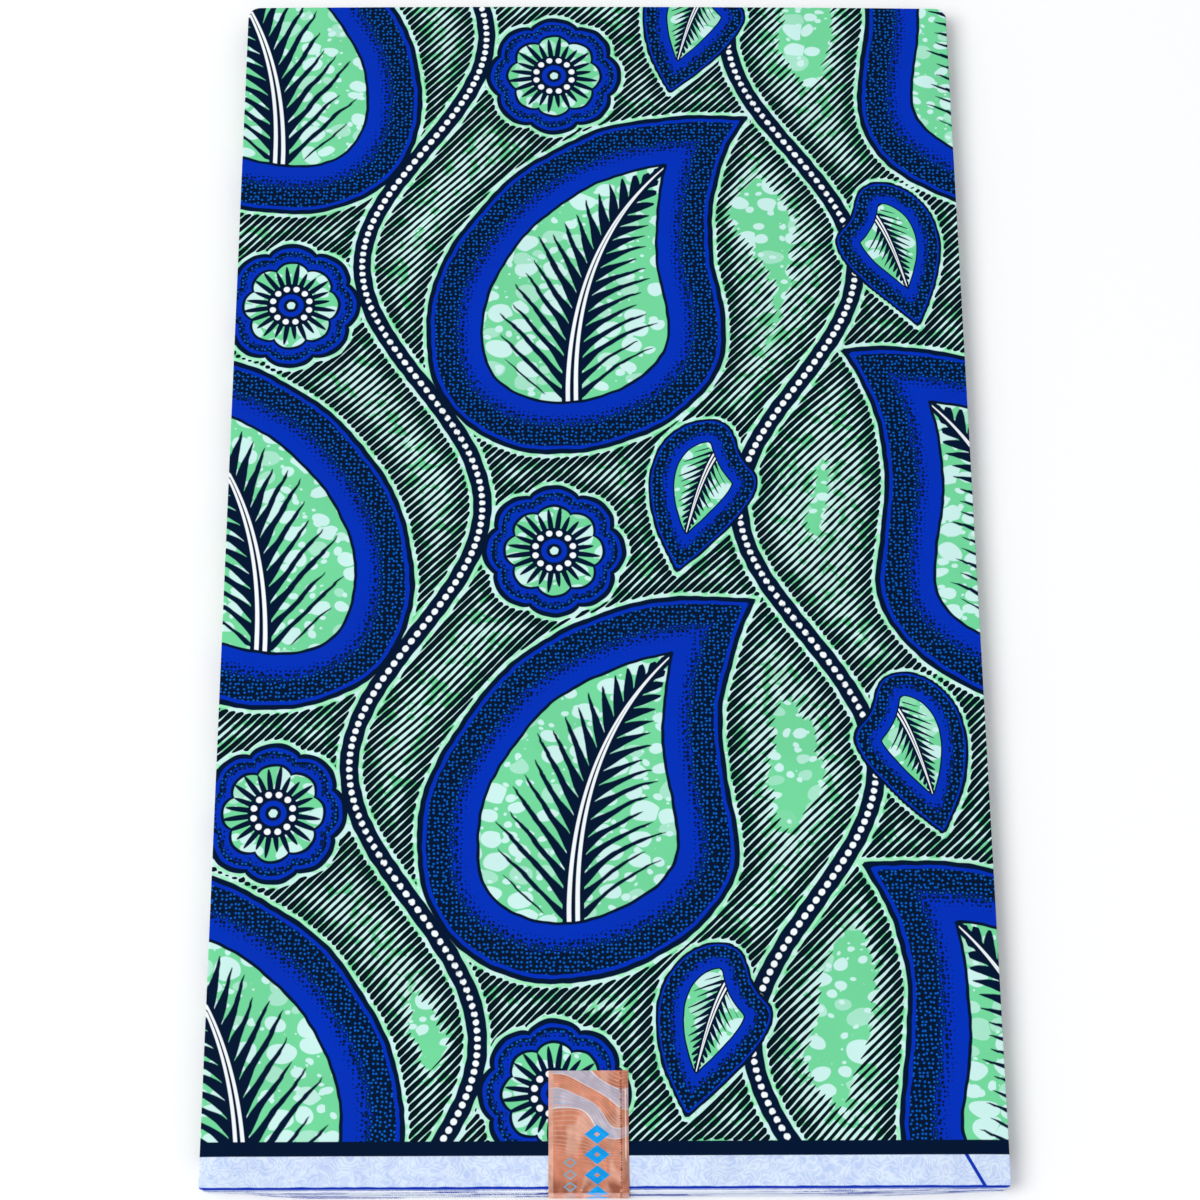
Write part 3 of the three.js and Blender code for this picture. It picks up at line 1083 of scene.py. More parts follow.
def hatching(u, v, nearest):
    """1 on a dark stroke, and 1 on a pale streak between the strokes."""
    along = (u + v) * SLANT
    drift, patch, _ = noises(u / OPEN_RUN, v / OPEN_RUN)
    stripe = (u - v) * (SLANT / STROKE_PITCH) + STROKE_DRIFT * drift
    number = calculate("FLOOR", stripe)
    off = abs(stripe - number - 0.5)
    chance = random_of(number, 0.5)
    open_at = OPEN_FROM + OPEN_VARY * (patch - OPEN_MIDDLE) + OPEN_UNEVEN * (chance - 0.5)
    thin = STROKE_THINNER * smooth(nearest, *STROKE_THIN_RISE)
    start = calculate("SQRT", clamp((nearest - STROKE_START) / STROKE_ROUND))
    end = calculate("SQRT", clamp((open_at - nearest) / STROKE_TAPER))
    ragged = noise(along / STROKE_RAGGED_RUN, number * STROKE_RAGGED_STEP) - 0.5
    width = STROKE_WIDTH - thin + STROKE_RAGGED * ragged + STROKE_UNEVEN * (chance - 0.5)
    width = width * start * end
    stroke = inside(off - width, STROKE_EDGE) * smooth(width, *STROKE_LEAST)
    streak = noise(along / STREAK_RUN, number * STREAK_STEP + STREAK_START)
    return stroke, smooth(streak, *STREAK_RISE) * smooth(open_at - nearest, 0.0, STREAK_FADE)


# %% [markdown]
# ## Beaded stem
#
# A stem is a dark ribbon with a string of white beads down its middle. The bead's own coordinates are the
# way along the stem, folded back on itself once per bead, and the way off it.

# %% Beaded stem
STEM_HALF = 4.3
BEAD_PITCH = 3.6
BEAD_RADIUS = 1.38


def stem_beads(color, off_stem, on_stem, ribbon):
    """Paints the ribbon and its beads."""
    along = (calculate("FRACT", on_stem / BEAD_PITCH) - 0.5) * BEAD_PITCH
    bead = length_of(along, off_stem) - BEAD_RADIUS
    return paint(color, (NAVY, inside(ribbon)), (WHITE, inside(bead)))


# %% [markdown]
# ## The band round a motif
#
# Each motif has a broad band: a dark outline, a blue line, dark ground with small blue dots, then dark dots
# that dwindle until the blue is plain, and a dark line inside. One function paints it from the distance.

# %% Band with stipple
OUTLINE = 2.3
LINE_END = 4.0
INNER_LINE = 1.4
DOT_PITCH = 2.05
DOT_SCATTER = 0.55
DOT_EDGE = 0.07
DARK_DOT = 0.62
DARK_DOT_FADE = (0.44, 0.86)
DARK_GROUND_FADE = (0.55, 0.47)
LIT_DOT = 0.24
LIT_EDGE = -0.05
LIT_FADE = (0.62, 0.52)


def band(color, distance, depth, dots, inner):
    """Paints a motif's band of that depth, and the colour inner within it."""
    share = clamp(distance * (-1.0 / depth))
    dark_radius = DARK_DOT * (1.0 - smooth(share, *DARK_DOT_FADE))
    dark = calculate("MAXIMUM", inside(dots - dark_radius, DOT_EDGE), smooth(share, *DARK_GROUND_FADE))
    lit = smooth(dots - LIT_DOT, DOT_EDGE, LIT_EDGE) * smooth(share, *LIT_FADE)
    return paint(
        color,
        (NAVY, inside(distance)),
        (BLUE, inside(distance + OUTLINE)),
        (paint(BLUE, (NAVY, dark), (DOT_BLUE, lit)), inside(distance + LINE_END)),
        (NAVY, inside(distance + (depth - INNER_LINE))),
        (inner, inside(distance + depth)),
    )


# %% [markdown]
# ## Leaf
#
# Inside its band a leaf shows the mint ground, a white spine and dark veins that start thick at the spine,
# bend towards the tip and end in points. The veins are stripes again: along the spine, but slanted more the
# further they are from it. How far each one reaches is a share of the room between the spine and the band.

# %% Veins and spine
VEIN_PITCH = 8.4
VEIN_SLANT = 1.25
VEIN_BEND = 0.0085
VEIN_SWAY = 0.25
VEIN_SWAY_RUN = 14.0
VEIN_REACH = 0.66
VEIN_REACH_VARY = 0.26
VEIN_WIDTH = 0.31
VEIN_POWER = 0.62
VEIN_FOOT = 0.20
VEIN_FOOT_FADE = (13.0, 3.0)
VEIN_EDGE = 0.045
VEIN_TIP = 0.02
SPINE_HALF = 3.1
SPINE_TO = 0.88
SPINE_RUN = 0.72
SPINE_BORDER = 1.7
SPINE_BORDER_FADE = (0.95, 0.93)
SPINE_WHITE = 0.25
SPINE_WHITE_RISE = (0.25, 0.35)
SPINE_LINE_SHARE = 0.44
SPINE_LINE_LESS = 0.45


def leaf_inside(ground, u, v, motif, along, across, length):
    """Paints the inside of a leaf on the ground colour."""
    side = calculate("SIGN", across)
    off = abs(across)
    slant = VEIN_SLANT * off - VEIN_BEND * off * off
    sway = VEIN_SWAY * noise(u / VEIN_SWAY_RUN, v / VEIN_SWAY_RUN)
    stripe = (along - slant) / VEIN_PITCH + 0.5 * side + sway
    number = calculate("FLOOR", stripe)
    middle = abs(stripe - number - 0.5)
    room = calculate("MAXIMUM", off - motif - BAND, 1.0)
    reach = VEIN_REACH + VEIN_REACH_VARY * random_of(number, side)
    left_over = clamp(1.0 - off / (room * reach))
    width = VEIN_WIDTH * left_over**VEIN_POWER + VEIN_FOOT * smooth(off, *VEIN_FOOT_FADE)
    vein = inside(middle - width, VEIN_EDGE) * smooth(left_over, 0.0, VEIN_TIP)
    share = along / length
    spine = SPINE_HALF * clamp((SPINE_TO - share) / SPINE_RUN)
    return paint(
        ground,
        (NAVY, vein),
        (NAVY, inside(off - spine - SPINE_BORDER) * smooth(share, *SPINE_BORDER_FADE)),
        (WHITE, inside(off - spine + SPINE_WHITE) * smooth(spine, *SPINE_WHITE_RISE)),
        (NAVY, inside(off - SPINE_LINE_SHARE * spine + SPINE_LINE_LESS)),
    )


# %% [markdown]
# ## Flower
#
# A flower is drawn in polar coordinates: the petals swell the radius, rays are stripes of angle, and the
# beads of its heart sit on a circle.

# %% Flower
PETALS = 8
PETAL_DEPTH = 0.10
PETAL_ROUND = 0.7
FLOWER_BAND = 11.0
RAYS = 24
RAY_FROM = 11.0
RAY_REACH = 7.0
RAY_VARY = 6.0
RAY_WIDTH = 0.42
RAY_POWER = 0.65
RAY_EDGE = 0.05
RAY_LEAST = (0.01, 0.04)
RAY_CHANCE = 3.5
HEART_BORDER = 0.4
HEART_BEADS = 12
HEART_RING = 8.8
HEART_BEAD = 1.45
HEART_BLUE = 5.9
HEART_NAVY = 3.5
HEART_PALE = 2.0


def flower_distance(radius, angle):
    """How far a point is from the petals' outline, negative inside."""
    swell = abs(calculate("COSINE", angle * (PETALS / 2))) ** PETAL_ROUND
    return radius - FLOWER_RADIUS * (1.0 - PETAL_DEPTH) - FLOWER_RADIUS * PETAL_DEPTH * swell


def flower_inside(ground, radius, angle):
    """Paints the inside of a flower on the ground colour."""
    turn = angle / math.tau * RAYS
    number = calculate("FLOOR", turn)
    reach = RAY_REACH + RAY_VARY * random_of(number, RAY_CHANCE)
    width = RAY_WIDTH * clamp(1.0 - (radius - RAY_FROM) / reach) ** RAY_POWER
    ray = inside(abs(turn - number - 0.5) - width, RAY_EDGE) * smooth(width, *RAY_LEAST)
    turn = angle / math.tau * HEART_BEADS
    arc = (turn - calculate("FLOOR", turn) - 0.5) * (math.tau * HEART_RING / HEART_BEADS)
    return paint(
        ground,
        (NAVY, ray),
        (NAVY, inside(radius - RAY_FROM - HEART_BORDER)),
        (WHITE, inside(length_of(arc, radius - HEART_RING) - HEART_BEAD)),
        (BLUE, inside(radius - HEART_BLUE)),
        (NAVY, inside(radius - HEART_NAVY)),
        (PALE, inside(radius - HEART_PALE)),
    )


# %% [markdown]
# ## Selvedge
#
# Along the selvedge the print ends in a plain dark band. Outside it the cloth is nearly bare: white with a
# bluish marbling, a fine blue line on the very edge, and one slanting mark of the printer's gauge. On the
# near side of the pack the lower selvedges show as pale edges, with bits of their blue lines.

# %% Selvedge
BARE_TO = 14.3
DARK_BAND_TO = 20.6
EDGE_LINE = 1.25
EDGE_LINE_VARY = 0.5
MARK_U = 328.2
MARK_V = 7.6
MARK_SLOPE = -0.54
MARK_HALF = 0.85
MARBLE_RUN = 6.5
MARBLE_RISE = (0.40, 0.66)
MARBLE_SHARE = 0.24
SWIRL_RUN = 4.2
SWIRL_WARP = 1.7
SWIRL_TURNS = 3.4
SWIRL_RISE = (-0.6, 0.7)
SWIRL_SHARE = 0.36
DASH_RISE, DASH_FALL = (0.15, 0.25), (0.90, 0.80)


def selvedge(color, u, v, stacked_blue, near_wall, share):
    """Paints the band, the bare selvedge with its marbling, and the stacked edges below it."""
    cloudy = noises(u / MARBLE_RUN, v / MARBLE_RUN, 1.0)
    marbled = smooth(cloudy[0], *MARBLE_RISE)
    turned = noise(u / SWIRL_RUN + SWIRL_WARP * cloudy[1], v / SWIRL_RUN + SWIRL_WARP * cloudy[2])
    swirl = smooth(sine(turned * SWIRL_TURNS), *SWIRL_RISE)
    mark = abs(u - MARK_U - MARK_SLOPE * (v - MARK_V)) - MARK_HALF
    bluish = clamp(MARBLE_SHARE * marbled + SWIRL_SHARE * swirl)
    bare = paint(SELVEDGE_WHITE, (SELVEDGE_BLUE, bluish), (EDGE_BLUE, inside(mark)))
    dash = stacked_blue * smooth(share, *DASH_RISE) * smooth(share, *DASH_FALL)
    return paint(
        color,
        (NAVY, inside(v - DARK_BAND_TO)),
        (bare, inside(v - BARE_TO)),
        (EDGE_BLUE, inside(v - EDGE_LINE + EDGE_LINE_VARY * (cloudy[1] - 0.5))),
        (paint(STACKED_WHITE, (STACKED_BLUE, dash)), near_wall),
    )


# %% [markdown]
# ## The cotton
#
# The cloth is a fine plain weave, glazed a little by the rollers. At arm's length the weave is only a
# slight grain, so it is bump and not mesh: two crossing waves, a third of a millimetre apart, and a little
# noise for uneven yarn.

# %% Printed cotton
YARN = 0.36
WEAVE_DEPTH = 0.00004
WEAVE_STRENGTH = 0.45
WEAVE_SHADE = 0.06
UNEVEN_YARN = 0.4
UNEVEN_RUN = 0.9
COTTON_SPECULAR = 0.04
COTTON_ROUGHNESS, HANDLED_ROUGHNESS = 0.66, 0.12
COTTON_SHADE, HANDLED_SHADE = 0.96, 0.05
HANDLED_SIZE = 38.0
HALO_TO = 1.25
DRAWN_EDGE = 0.7
DRAWN_EDGE_RUN = 6.0
DRAWN_SLOW = 2.2
DRAWN_SLOW_RUN = 32.0
DRAWN_SLOW_START = 50.0
# Midway between two flowers the place turns round within one face, so the stored distance holds there.
MIDWAY_SHARE = 0.97


def printed_color(tree, u, v):
    """The whole print, from the numbers that the points of the cloth carry."""
    motif, along, across = point_numbers(tree, "leaf")
    off_stem, on_stem, length = point_numbers(tree, "stem")
    flower_x, flower_y, from_flower = point_numbers(tree, "flower")
    near_wall, from_top, share = point_numbers(tree, "edge")

    by_hand = DRAWN_EDGE * (noise(u / DRAWN_EDGE_RUN, v / DRAWN_EDGE_RUN) - 0.5)
    slow = DRAWN_SLOW * (noise(u / DRAWN_SLOW_RUN + DRAWN_SLOW_START, v / DRAWN_SLOW_RUN) - 0.5)
    motif = motif + by_hand + slow
    radius = calculate("MAXIMUM", length_of(flower_x, flower_y), from_flower * MIDWAY_SHARE)
    angle = calculate("ARCTAN2", flower_y, flower_x)
    petals = flower_distance(radius, angle) + by_hand
    ribbon = off_stem - STEM_HALF + by_hand
    nearest = calculate("MINIMUM", calculate("MINIMUM", motif, petals), ribbon)

    bubble = bubbles(u, v)
    ground = paint(MINT, (PALE, bubble))
    stroke, streak = hatching(u, v, nearest)
    halo = paint(HALO, (PALE, bubble))
    color = paint(ground, (PALE, streak), (INK, stroke), (halo, inside(nearest - HALO_TO)))
    color = stem_beads(color, off_stem, on_stem, ribbon)
    dots, _ = cells(u / DOT_PITCH, v / DOT_PITCH, DOT_SCATTER)
    leaf = leaf_inside(ground, u, v, motif, along, across, length)
    color = band(color, motif, BAND, dots, leaf)
    color = band(color, petals, FLOWER_BAND, dots, flower_inside(ground, radius, angle))
    along_edge = pack_place(tree)[0]
    stacked_blue = mask_from(STACK_BLUE, tree, {"Along": along_edge, "From Top": from_top})
    return selvedge(color, u, v, stacked_blue, near_wall, share)


def cotton_material():
    """The printed cloth."""
    material, tree, shader = new_material("printed_cotton", COTTON_SPECULAR)
    place_on_cloth = map_place(tree)
    u, v, _ = split(place_on_cloth)
    handled = mask_from(MOTTLE, tree, {"Place": place_on_cloth, "Size": HANDLED_SIZE})
    warp = calculate("SINE", u * (math.pi / YARN))
    weft = calculate("SINE", v * (math.pi / YARN))
    weave = 0.5 + 0.5 * warp * weft
    shade = clamp(COTTON_SHADE + HANDLED_SHADE * handled - WEAVE_SHADE * weave)
    feed(shader.inputs["Base Color"], scaled(printed_color(tree, u, v), shade))
    feed(shader.inputs["Roughness"], COTTON_ROUGHNESS + HANDLED_ROUGHNESS * handled)
    yarn = weave + UNEVEN_YARN * noise(u / UNEVEN_RUN, v / UNEVEN_RUN)
    add_bump(shader, yarn, WEAVE_STRENGTH, WEAVE_DEPTH)
    print(material.name, "has", len(tree.nodes), "nodes")
    return material


COTTON = cotton_material()

# %% [markdown]
# ## The three cloth pieces
#
# The face is the top plait, with the finest mesh because it is seen most. The middle stack shows only its
# folds and edges, so it needs no grid at all. The lowest plait lies flat on the table and has a grid on its
# underside, where the strip of foil comes back below the cloth and presses it up a little.

# %% Face
FACE_PITCH = 1.75
face_stack = stack_of_layers(LAYERS - PLAIT_LAYERS, LAYERS, FACE_PITCH, FACE)
face_sheet = cloth_object("face_sheet", face_stack, COTTON)

# %% Layers between
STACK_PITCH = 3.5
middle_stack = stack_of_layers(PLAIT_LAYERS, LAYERS - PLAIT_LAYERS, STACK_PITCH)
layer_stack = cloth_object("layer_stack", middle_stack, COTTON)

# %% Lowest plait
UNDER_PITCH = 2.6
PRESSED = 0.62
PRESS_FROM, PRESS_RUN = 0.3, 3.0


def pressed_up(x, y, z):
    """The heights of the lowest plait, raised where the strip of foil lies under it."""
    beside = np.maximum(LABEL_LEFT - x, x - LABEL_RIGHT)
    beyond = y - LABEL_END
    over_strip = 1 - smoothstep(np.maximum(beside, beyond), PRESS_FROM, PRESS_RUN)
    low = 1 - smoothstep(z, 0, 2 * LAYER)
    return z + PRESSED * over_strip * low


under_stack = stack_of_layers(0, PLAIT_LAYERS, UNDER_PITCH, UNDERSIDE, pressed_up)
under_sheet = cloth_object("under_sheet", under_stack, COTTON)

# %% [markdown]
# ## Turns of the weft
#
# At a selvedge the weft turns back into the cloth, so each edge is a row of tiny loops. A bump could draw
# them on a wall, but they stand off an edge that is thinner than a millimetre. So one loop is modelled with
# few faces, and Geometry Nodes repeats it along every selvedge of the pack. The tree knows nothing of
# cloth: it takes lines, an item and a pitch, so the crimps of the label come from the same one.

# %% A tree that repeats an item along lines
REPEAT_SOCKETS = {
    "Lines": "NodeSocketGeometry",
    "Item": "NodeSocketObject",
    "Pitch": "NodeSocketFloat",
    "Smallest": "NodeSocketFloat",
    "Largest": "NodeSocketFloat",
    "Seed": "NodeSocketInt",
    "Finish": "NodeSocketMaterial",
}


def aligned(tree, axis, direction, rotation=None, pivot="AUTO"):
    """A rotation that turns an item's axis to a direction."""
    node = tree.nodes.new("FunctionNodeAlignRotationToVector")
    node.axis = axis
    node.pivot_axis = pivot
    tree.links.new(direction, node.inputs["Vector"])
    if rotation is not None:
        tree.links.new(rotation, node.inputs["Rotation"])
    return node.outputs["Rotation"]


def repeat_tree():
    """The tree: items at even steps along lines, turned with each line and upright on its "outward"."""
    tree = bpy.data.node_groups.new("repeat_along_lines", "GeometryNodeTree")
    for name, kind in REPEAT_SOCKETS.items():
        tree.interface.new_socket(name=name, in_out="INPUT", socket_type=kind)
    tree.interface.new_socket(name="Items", in_out="OUTPUT", socket_type="NodeSocketGeometry")
    given = tree.nodes.new("NodeGroupInput").outputs
    made = tree.nodes.new("NodeGroupOutput").inputs
    link = tree.links.new

    curves = tree.nodes.new("GeometryNodeMeshToCurve")
    steps = tree.nodes.new("GeometryNodeResampleCurve")
    steps.mode = "LENGTH"
    link(given["Lines"], curves.inputs["Mesh"])
    link(curves.outputs["Curve"], steps.inputs["Curve"])
    link(given["Pitch"], steps.inputs["Length"])

    tangent = tree.nodes.new("GeometryNodeInputTangent")
    outward = tree.nodes.new("GeometryNodeInputNamedAttribute")
    outward.data_type = "FLOAT_VECTOR"
    outward.inputs["Name"].default_value = "outward"
    turned = aligned(tree, "X", tangent.outputs["Tangent"])
    turned = aligned(tree, "Z", outward.outputs["Attribute"], turned, "X")

    size = tree.nodes.new("FunctionNodeRandomValue")
    least, most, _, seed = [socket for socket in size.inputs if socket.enabled]
    link(given["Smallest"], least)
    link(given["Largest"], most)
    link(given["Seed"], seed)

    item = tree.nodes.new("GeometryNodeObjectInfo")
    copies = tree.nodes.new("GeometryNodeInstanceOnPoints")
    link(given["Item"], item.inputs["Object"])
    link(steps.outputs["Curve"], copies.inputs["Points"])
    link(item.outputs["Geometry"], copies.inputs["Instance"])
    link(turned, copies.inputs["Rotation"])
    link(next(socket for socket in size.outputs if socket.enabled), copies.inputs["Scale"])

    real = tree.nodes.new("GeometryNodeRealizeInstances")
    finish = tree.nodes.new("GeometryNodeSetMaterial")
    link(copies.outputs["Instances"], real.inputs["Geometry"])
    link(real.outputs["Geometry"], finish.inputs["Geometry"])
    link(given["Finish"], finish.inputs["Material"])
    link(finish.outputs["Geometry"], made["Items"])
    return tree


REPEAT = repeat_tree()
print("tree", REPEAT.name, "with", len(REPEAT.nodes), "nodes")

# %% Items along lines, as one plain mesh
Line = namedtuple("Line", "points outward")


def repeat_along(name, lines, item, pitch, spread, seed, material):
    """One mesh object of items along lines. Their sizes differ by the spread, either way."""
    points = np.concatenate([line.points for line in lines]) * MM
    starts = np.cumsum([0] + [len(line.points) for line in lines[:-1]])
    edges = [(s + i, s + i + 1) for s, line in zip(starts, lines) for i in range(len(line.points) - 1)]
    mesh = bpy.data.meshes.new(name)
    mesh.from_pydata(points.tolist(), [(int(a), int(b)) for a, b in edges], [])
    add_vectors(mesh, "outward", *np.concatenate([line.outward for line in lines]).T)
    piece = add_object(name, mesh)
    modifier = piece.modifiers.new("repeat", "NODES")
    modifier.node_group = REPEAT
    values = {"Item": item, "Pitch": pitch * MM, "Smallest": 1 - spread, "Largest": 1 + spread}
    values.update({"Seed": seed, "Finish": material})
    for socket in REPEAT.interface.items_tree:
        if socket.name in values:
            modifier[socket.identifier] = values[socket.name]
    evaluated = piece.evaluated_get(bpy.context.evaluated_depsgraph_get())
    realized = bpy.data.meshes.new_from_object(evaluated)
    piece.modifiers.remove(modifier)
    piece.data = realized
    bpy.data.objects.remove(item)
    print_triangles(piece)
    return piece


# %% Thread of the selvedge
THREAD_SPECULAR = 0.1
THREAD_ROUGHNESS, THREAD_UNEVEN = 0.70, 0.15
TWIST_ACROSS, TWIST_ALONG = 0.12, 0.25
TWIST_RISE = (0.45, 0.7)
TWIST_TINT = 0.12
TWIST_STRENGTH = 0.4
UPPERMOST = (LAYERS - 1.1, LAYERS - 1.0)


def thread_material():
    """The turned weft: undyed but for the blue line of the uppermost edge and the blue of the lower ones."""
    material, tree, shader = new_material("selvedge_thread", THREAD_SPECULAR)
    x, y, z = pack_place(tree)
    layers = z / LAYER
    from_top = LAYERS - 1 - calculate("FLOOR", layers)
    stacked = mask_from(STACK_BLUE, tree, {"Along": x, "From Top": from_top})
    blue = calculate("MAXIMUM", stacked, smooth(layers, *UPPERMOST))
    twist = noise((x + y) / TWIST_ACROSS, z / TWIST_ALONG)
    tint = TWIST_TINT * smooth(twist, *TWIST_RISE)
    feed(shader.inputs["Base Color"], paint(STACKED_WHITE, (EDGE_BLUE, blue), (STACKED_BLUE, tint)))
    feed(shader.inputs["Roughness"], THREAD_ROUGHNESS + THREAD_UNEVEN * twist)
    add_bump(shader, twist, TWIST_STRENGTH, WEAVE_DEPTH)
    return material


# %% Loops along the selvedges
LOOP_RADIUS = 0.32
THREAD_RADIUS = 0.13
LOOP_STEPS = 3
LOOP_SIDES = 3
LOOP_PITCH = 0.95
LOOP_SPREAD = 0.14
LOOP_SEED = 7
LOOP_SUNK = 0.10
LINE_POINTS = 40
LABEL_CLEAR = 0.8


def weft_loop():
    """One turn of the weft: half a circle of thread that bulges towards -Y, with its ends in the cloth."""
    points = []
    for step in range(LOOP_STEPS + 1):
        turn = math.pi * step / LOOP_STEPS
        out_x, out_y = -math.cos(turn), -math.sin(turn)
        for side in range(LOOP_SIDES):
            angle = math.tau * side / LOOP_SIDES
            away = LOOP_RADIUS + THREAD_RADIUS * math.cos(angle)
            points.append((away * out_x, away * out_y, THREAD_RADIUS * math.sin(angle)))
    faces = [tuple(range(LOOP_SIDES)), tuple(range(len(points) - 1, len(points) - LOOP_SIDES - 1, -1))]
    for step in range(LOOP_STEPS):
        low, high = step * LOOP_SIDES, (step + 1) * LOOP_SIDES
        for side in range(LOOP_SIDES):
            onward = (side + 1) % LOOP_SIDES
            faces.append((low + side, high + side, high + onward, low + onward))
    return add_object("item", smooth_mesh("item", points, faces))


def selvedge_lines(first, last):
    """The lines along the selvedges of those layers, on both sides of the label."""
    lines = []
    from_left, from_right = -HALF_WIDTH + NEAR_CORNER_RADIUS, HALF_WIDTH - NEAR_CORNER_RADIUS
    for low, high in ((from_left, LABEL_LEFT - LABEL_CLEAR), (LABEL_RIGHT + LABEL_CLEAR, from_right)):
        for layer in range(first, last):
            height = layer + 0.5
            x, y = place(np.linspace(low, high, LINE_POINTS), np.full(LINE_POINTS, NEAR_Y), height)
            points = np.stack([x, y + LOOP_SUNK, height_at(x, y, height)], axis=1)
            lines.append(Line(points, np.tile([0.0, 0.0, 1.0], (LINE_POINTS, 1))))
    return lines


def weft_turns(name, first, last):
    """The loops of the selvedges from layer first up to layer last."""
    lines = selvedge_lines(first, last)
    return repeat_along(name, lines, weft_loop(), LOOP_PITCH, LOOP_SPREAD, LOOP_SEED + first, THREAD)


THREAD = thread_material()
face_turns = weft_turns("face_turns", LAYERS - PLAIT_LAYERS, LAYERS)
stack_turns = weft_turns("stack_turns", PLAIT_LAYERS, LAYERS - PLAIT_LAYERS)
under_turns = weft_turns("under_turns", 0, PLAIT_LAYERS)

# %% [markdown]
# ## The foil label
#
# The label is a strip of metallised film. It lies on the face, turns down over the edge of the pack and
# comes back underneath. It is built as a path along the strip with an outward direction at each step, and
# two skins a quarter of a millimetre apart. Its right margin is folded over, so the outer skin rises there.
# On the face it follows the cloth's own height, which a flat strip would float above.

# %% Path of the strip
FOIL = 0.24
FOIL_CLEAR = 0.12
BEND = 1.25
BEND_STEPS = 8
STRIP_STEP = 1.0
FRONT_Y = label_low.y / MM + FOIL
LIFT_RUN = 9.0
STRIP_LOW_Z = FOIL / 2 + 0.12
STRIP_HIGH_Z = label_high.z / MM - FOIL


def strip_path():
    """Points (y, z) of the strip from its end on the face to its end underneath, and their outward way."""
    bend_y = FRONT_Y + BEND
    steps = round((LABEL_END - bend_y) / STRIP_STEP)
    runs = np.linspace(LABEL_END, bend_y, steps + 1)
    path = [(y, STRIP_HIGH_Z, 0.0, 1.0) for y in runs]
    for centre_z, first in ((STRIP_HIGH_Z - BEND, math.pi / 2), (STRIP_LOW_Z + BEND, math.pi)):
        for step in range(1, BEND_STEPS + 1):
            angle = first + step / BEND_STEPS * math.pi / 2
            out_y, out_z = math.cos(angle), math.sin(angle)
            path.append((bend_y + BEND * out_y, centre_z + BEND * out_z, out_y, out_z))
        if first < math.pi:
            wall = np.linspace(STRIP_HIGH_Z - BEND, STRIP_LOW_Z + BEND, round(STRIP_HIGH_Z / STRIP_STEP))
            path += [(FRONT_Y, z, -1.0, 0.0) for z in wall[1:]]
    path += [(y, STRIP_LOW_Z, 0.0, -1.0) for y in runs[-2::-1]]
    return np.array(path)


path = strip_path()
print("strip of foil", round(float(np.hypot(*np.diff(path[:, :2], axis=0).T).sum())), "mm long")

# %% Strip as a mesh
MARGIN = 3.1
MARGIN_RISE = 0.10
MARGIN_SEAM = 0.25
COLUMN_STEP = 0.85
STRIP_FLAT_UNDER = 1.0
# The order of a square's corners in the outer skin and in the inner one, which faces the other way.
OUTWARD, INWARD = [0, 3, 2, 1], [1, 2, 3, 0]
Dent = namedtuple("Dent", "x along width length depth")
DENTS = [
    Dent(-17, 14, 5, 9, 0.16),
    Dent(-4, 26, 7, 6, -0.12),
    Dent(-20, 37, 4, 12, -0.09),
    Dent(3, 42, 5, 8, 0.12),
    Dent(-12, 47, 9, 3, 0.16),
    Dent(-14, 78, 6, 9, 0.05),
    Dent(1, 96, 7, 8, -0.06),
]


def dent_depth(x, along, dent):
    """How far one dent moves the foil at a place."""
    off = ((x - dent.x) / dent.width) ** 2 + ((along - dent.along) / dent.length) ** 2
    return dent.depth * np.exp(-off)


def strip_skins(xs):
    """The outer and the inner skin of the strip at those places across it, the way along it, and outward."""
    path = strip_path()
    steps = np.hypot(*np.diff(path[:, :2], axis=0).T)
    along = np.concatenate([[0], np.cumsum(steps)])
    x, s = np.meshgrid(xs, along)
    y, z, out_y, out_z = (np.broadcast_to(column[:, None], x.shape).copy() for column in path.T)
    on_face = (out_z == 1) & (y > FRONT_Y + BEND)
    settled = height_at(x, y, LAYERS) + FOIL / 2 + FOIL_CLEAR
    lowered = smoothstep(y, FRONT_Y + BEND, FRONT_Y + BEND + LIFT_RUN)
    z = np.where(on_face, z + (settled - z) * lowered, z)
    seam = LABEL_RIGHT - MARGIN
    margin = MARGIN_RISE * smoothstep(x, seam - MARGIN_SEAM, seam + MARGIN_SEAM)
    hollow = np.where(z < STRIP_FLAT_UNDER, 0, sum(dent_depth(x, s, dent) for dent in DENTS))
    out, back = FOIL / 2 + margin + hollow, FOIL / 2 - hollow
    outer = np.stack([x, y + out_y * out, z + out_z * out], -1)
    inner = np.stack([x, y - out_y * back, z - out_z * back], -1)
    return outer, inner, s, np.stack([np.zeros_like(x), out_y, out_z], -1)


def label_strip(material):
    """The closed strip of foil as an object, with its own map: across and along, in millimetres."""
    xs = np.linspace(LABEL_LEFT, LABEL_RIGHT, round((LABEL_RIGHT - LABEL_LEFT) / COLUMN_STEP) + 1)
    outer, inner, s, _ = strip_skins(xs)
    rows, columns = s.shape
    skin = rows * columns
    squares = np.stack([quad.ravel() for quad in grid_quads(np.arange(skin).reshape(rows, columns))], 1)
    rim = rim_of(columns, rows)
    onward = np.roll(rim, -1)
    side = np.stack([rim, onward, onward + skin, rim + skin], 1)
    faces = [*squares[:, OUTWARD].tolist(), *(squares[:, INWARD] + skin).tolist(), *side.tolist()]
    points = np.concatenate([outer.reshape(skin, -1), inner.reshape(skin, -1)])
    mesh = smooth_mesh("label_strip", points, faces)
    add_cloth_map(mesh, np.tile(xs - LABEL_LEFT, 2 * rows), np.tile(s.ravel(), 2))
    mesh.materials.append(material)
    piece = add_object("label_strip", mesh)
    print_triangles(piece)
    return piece
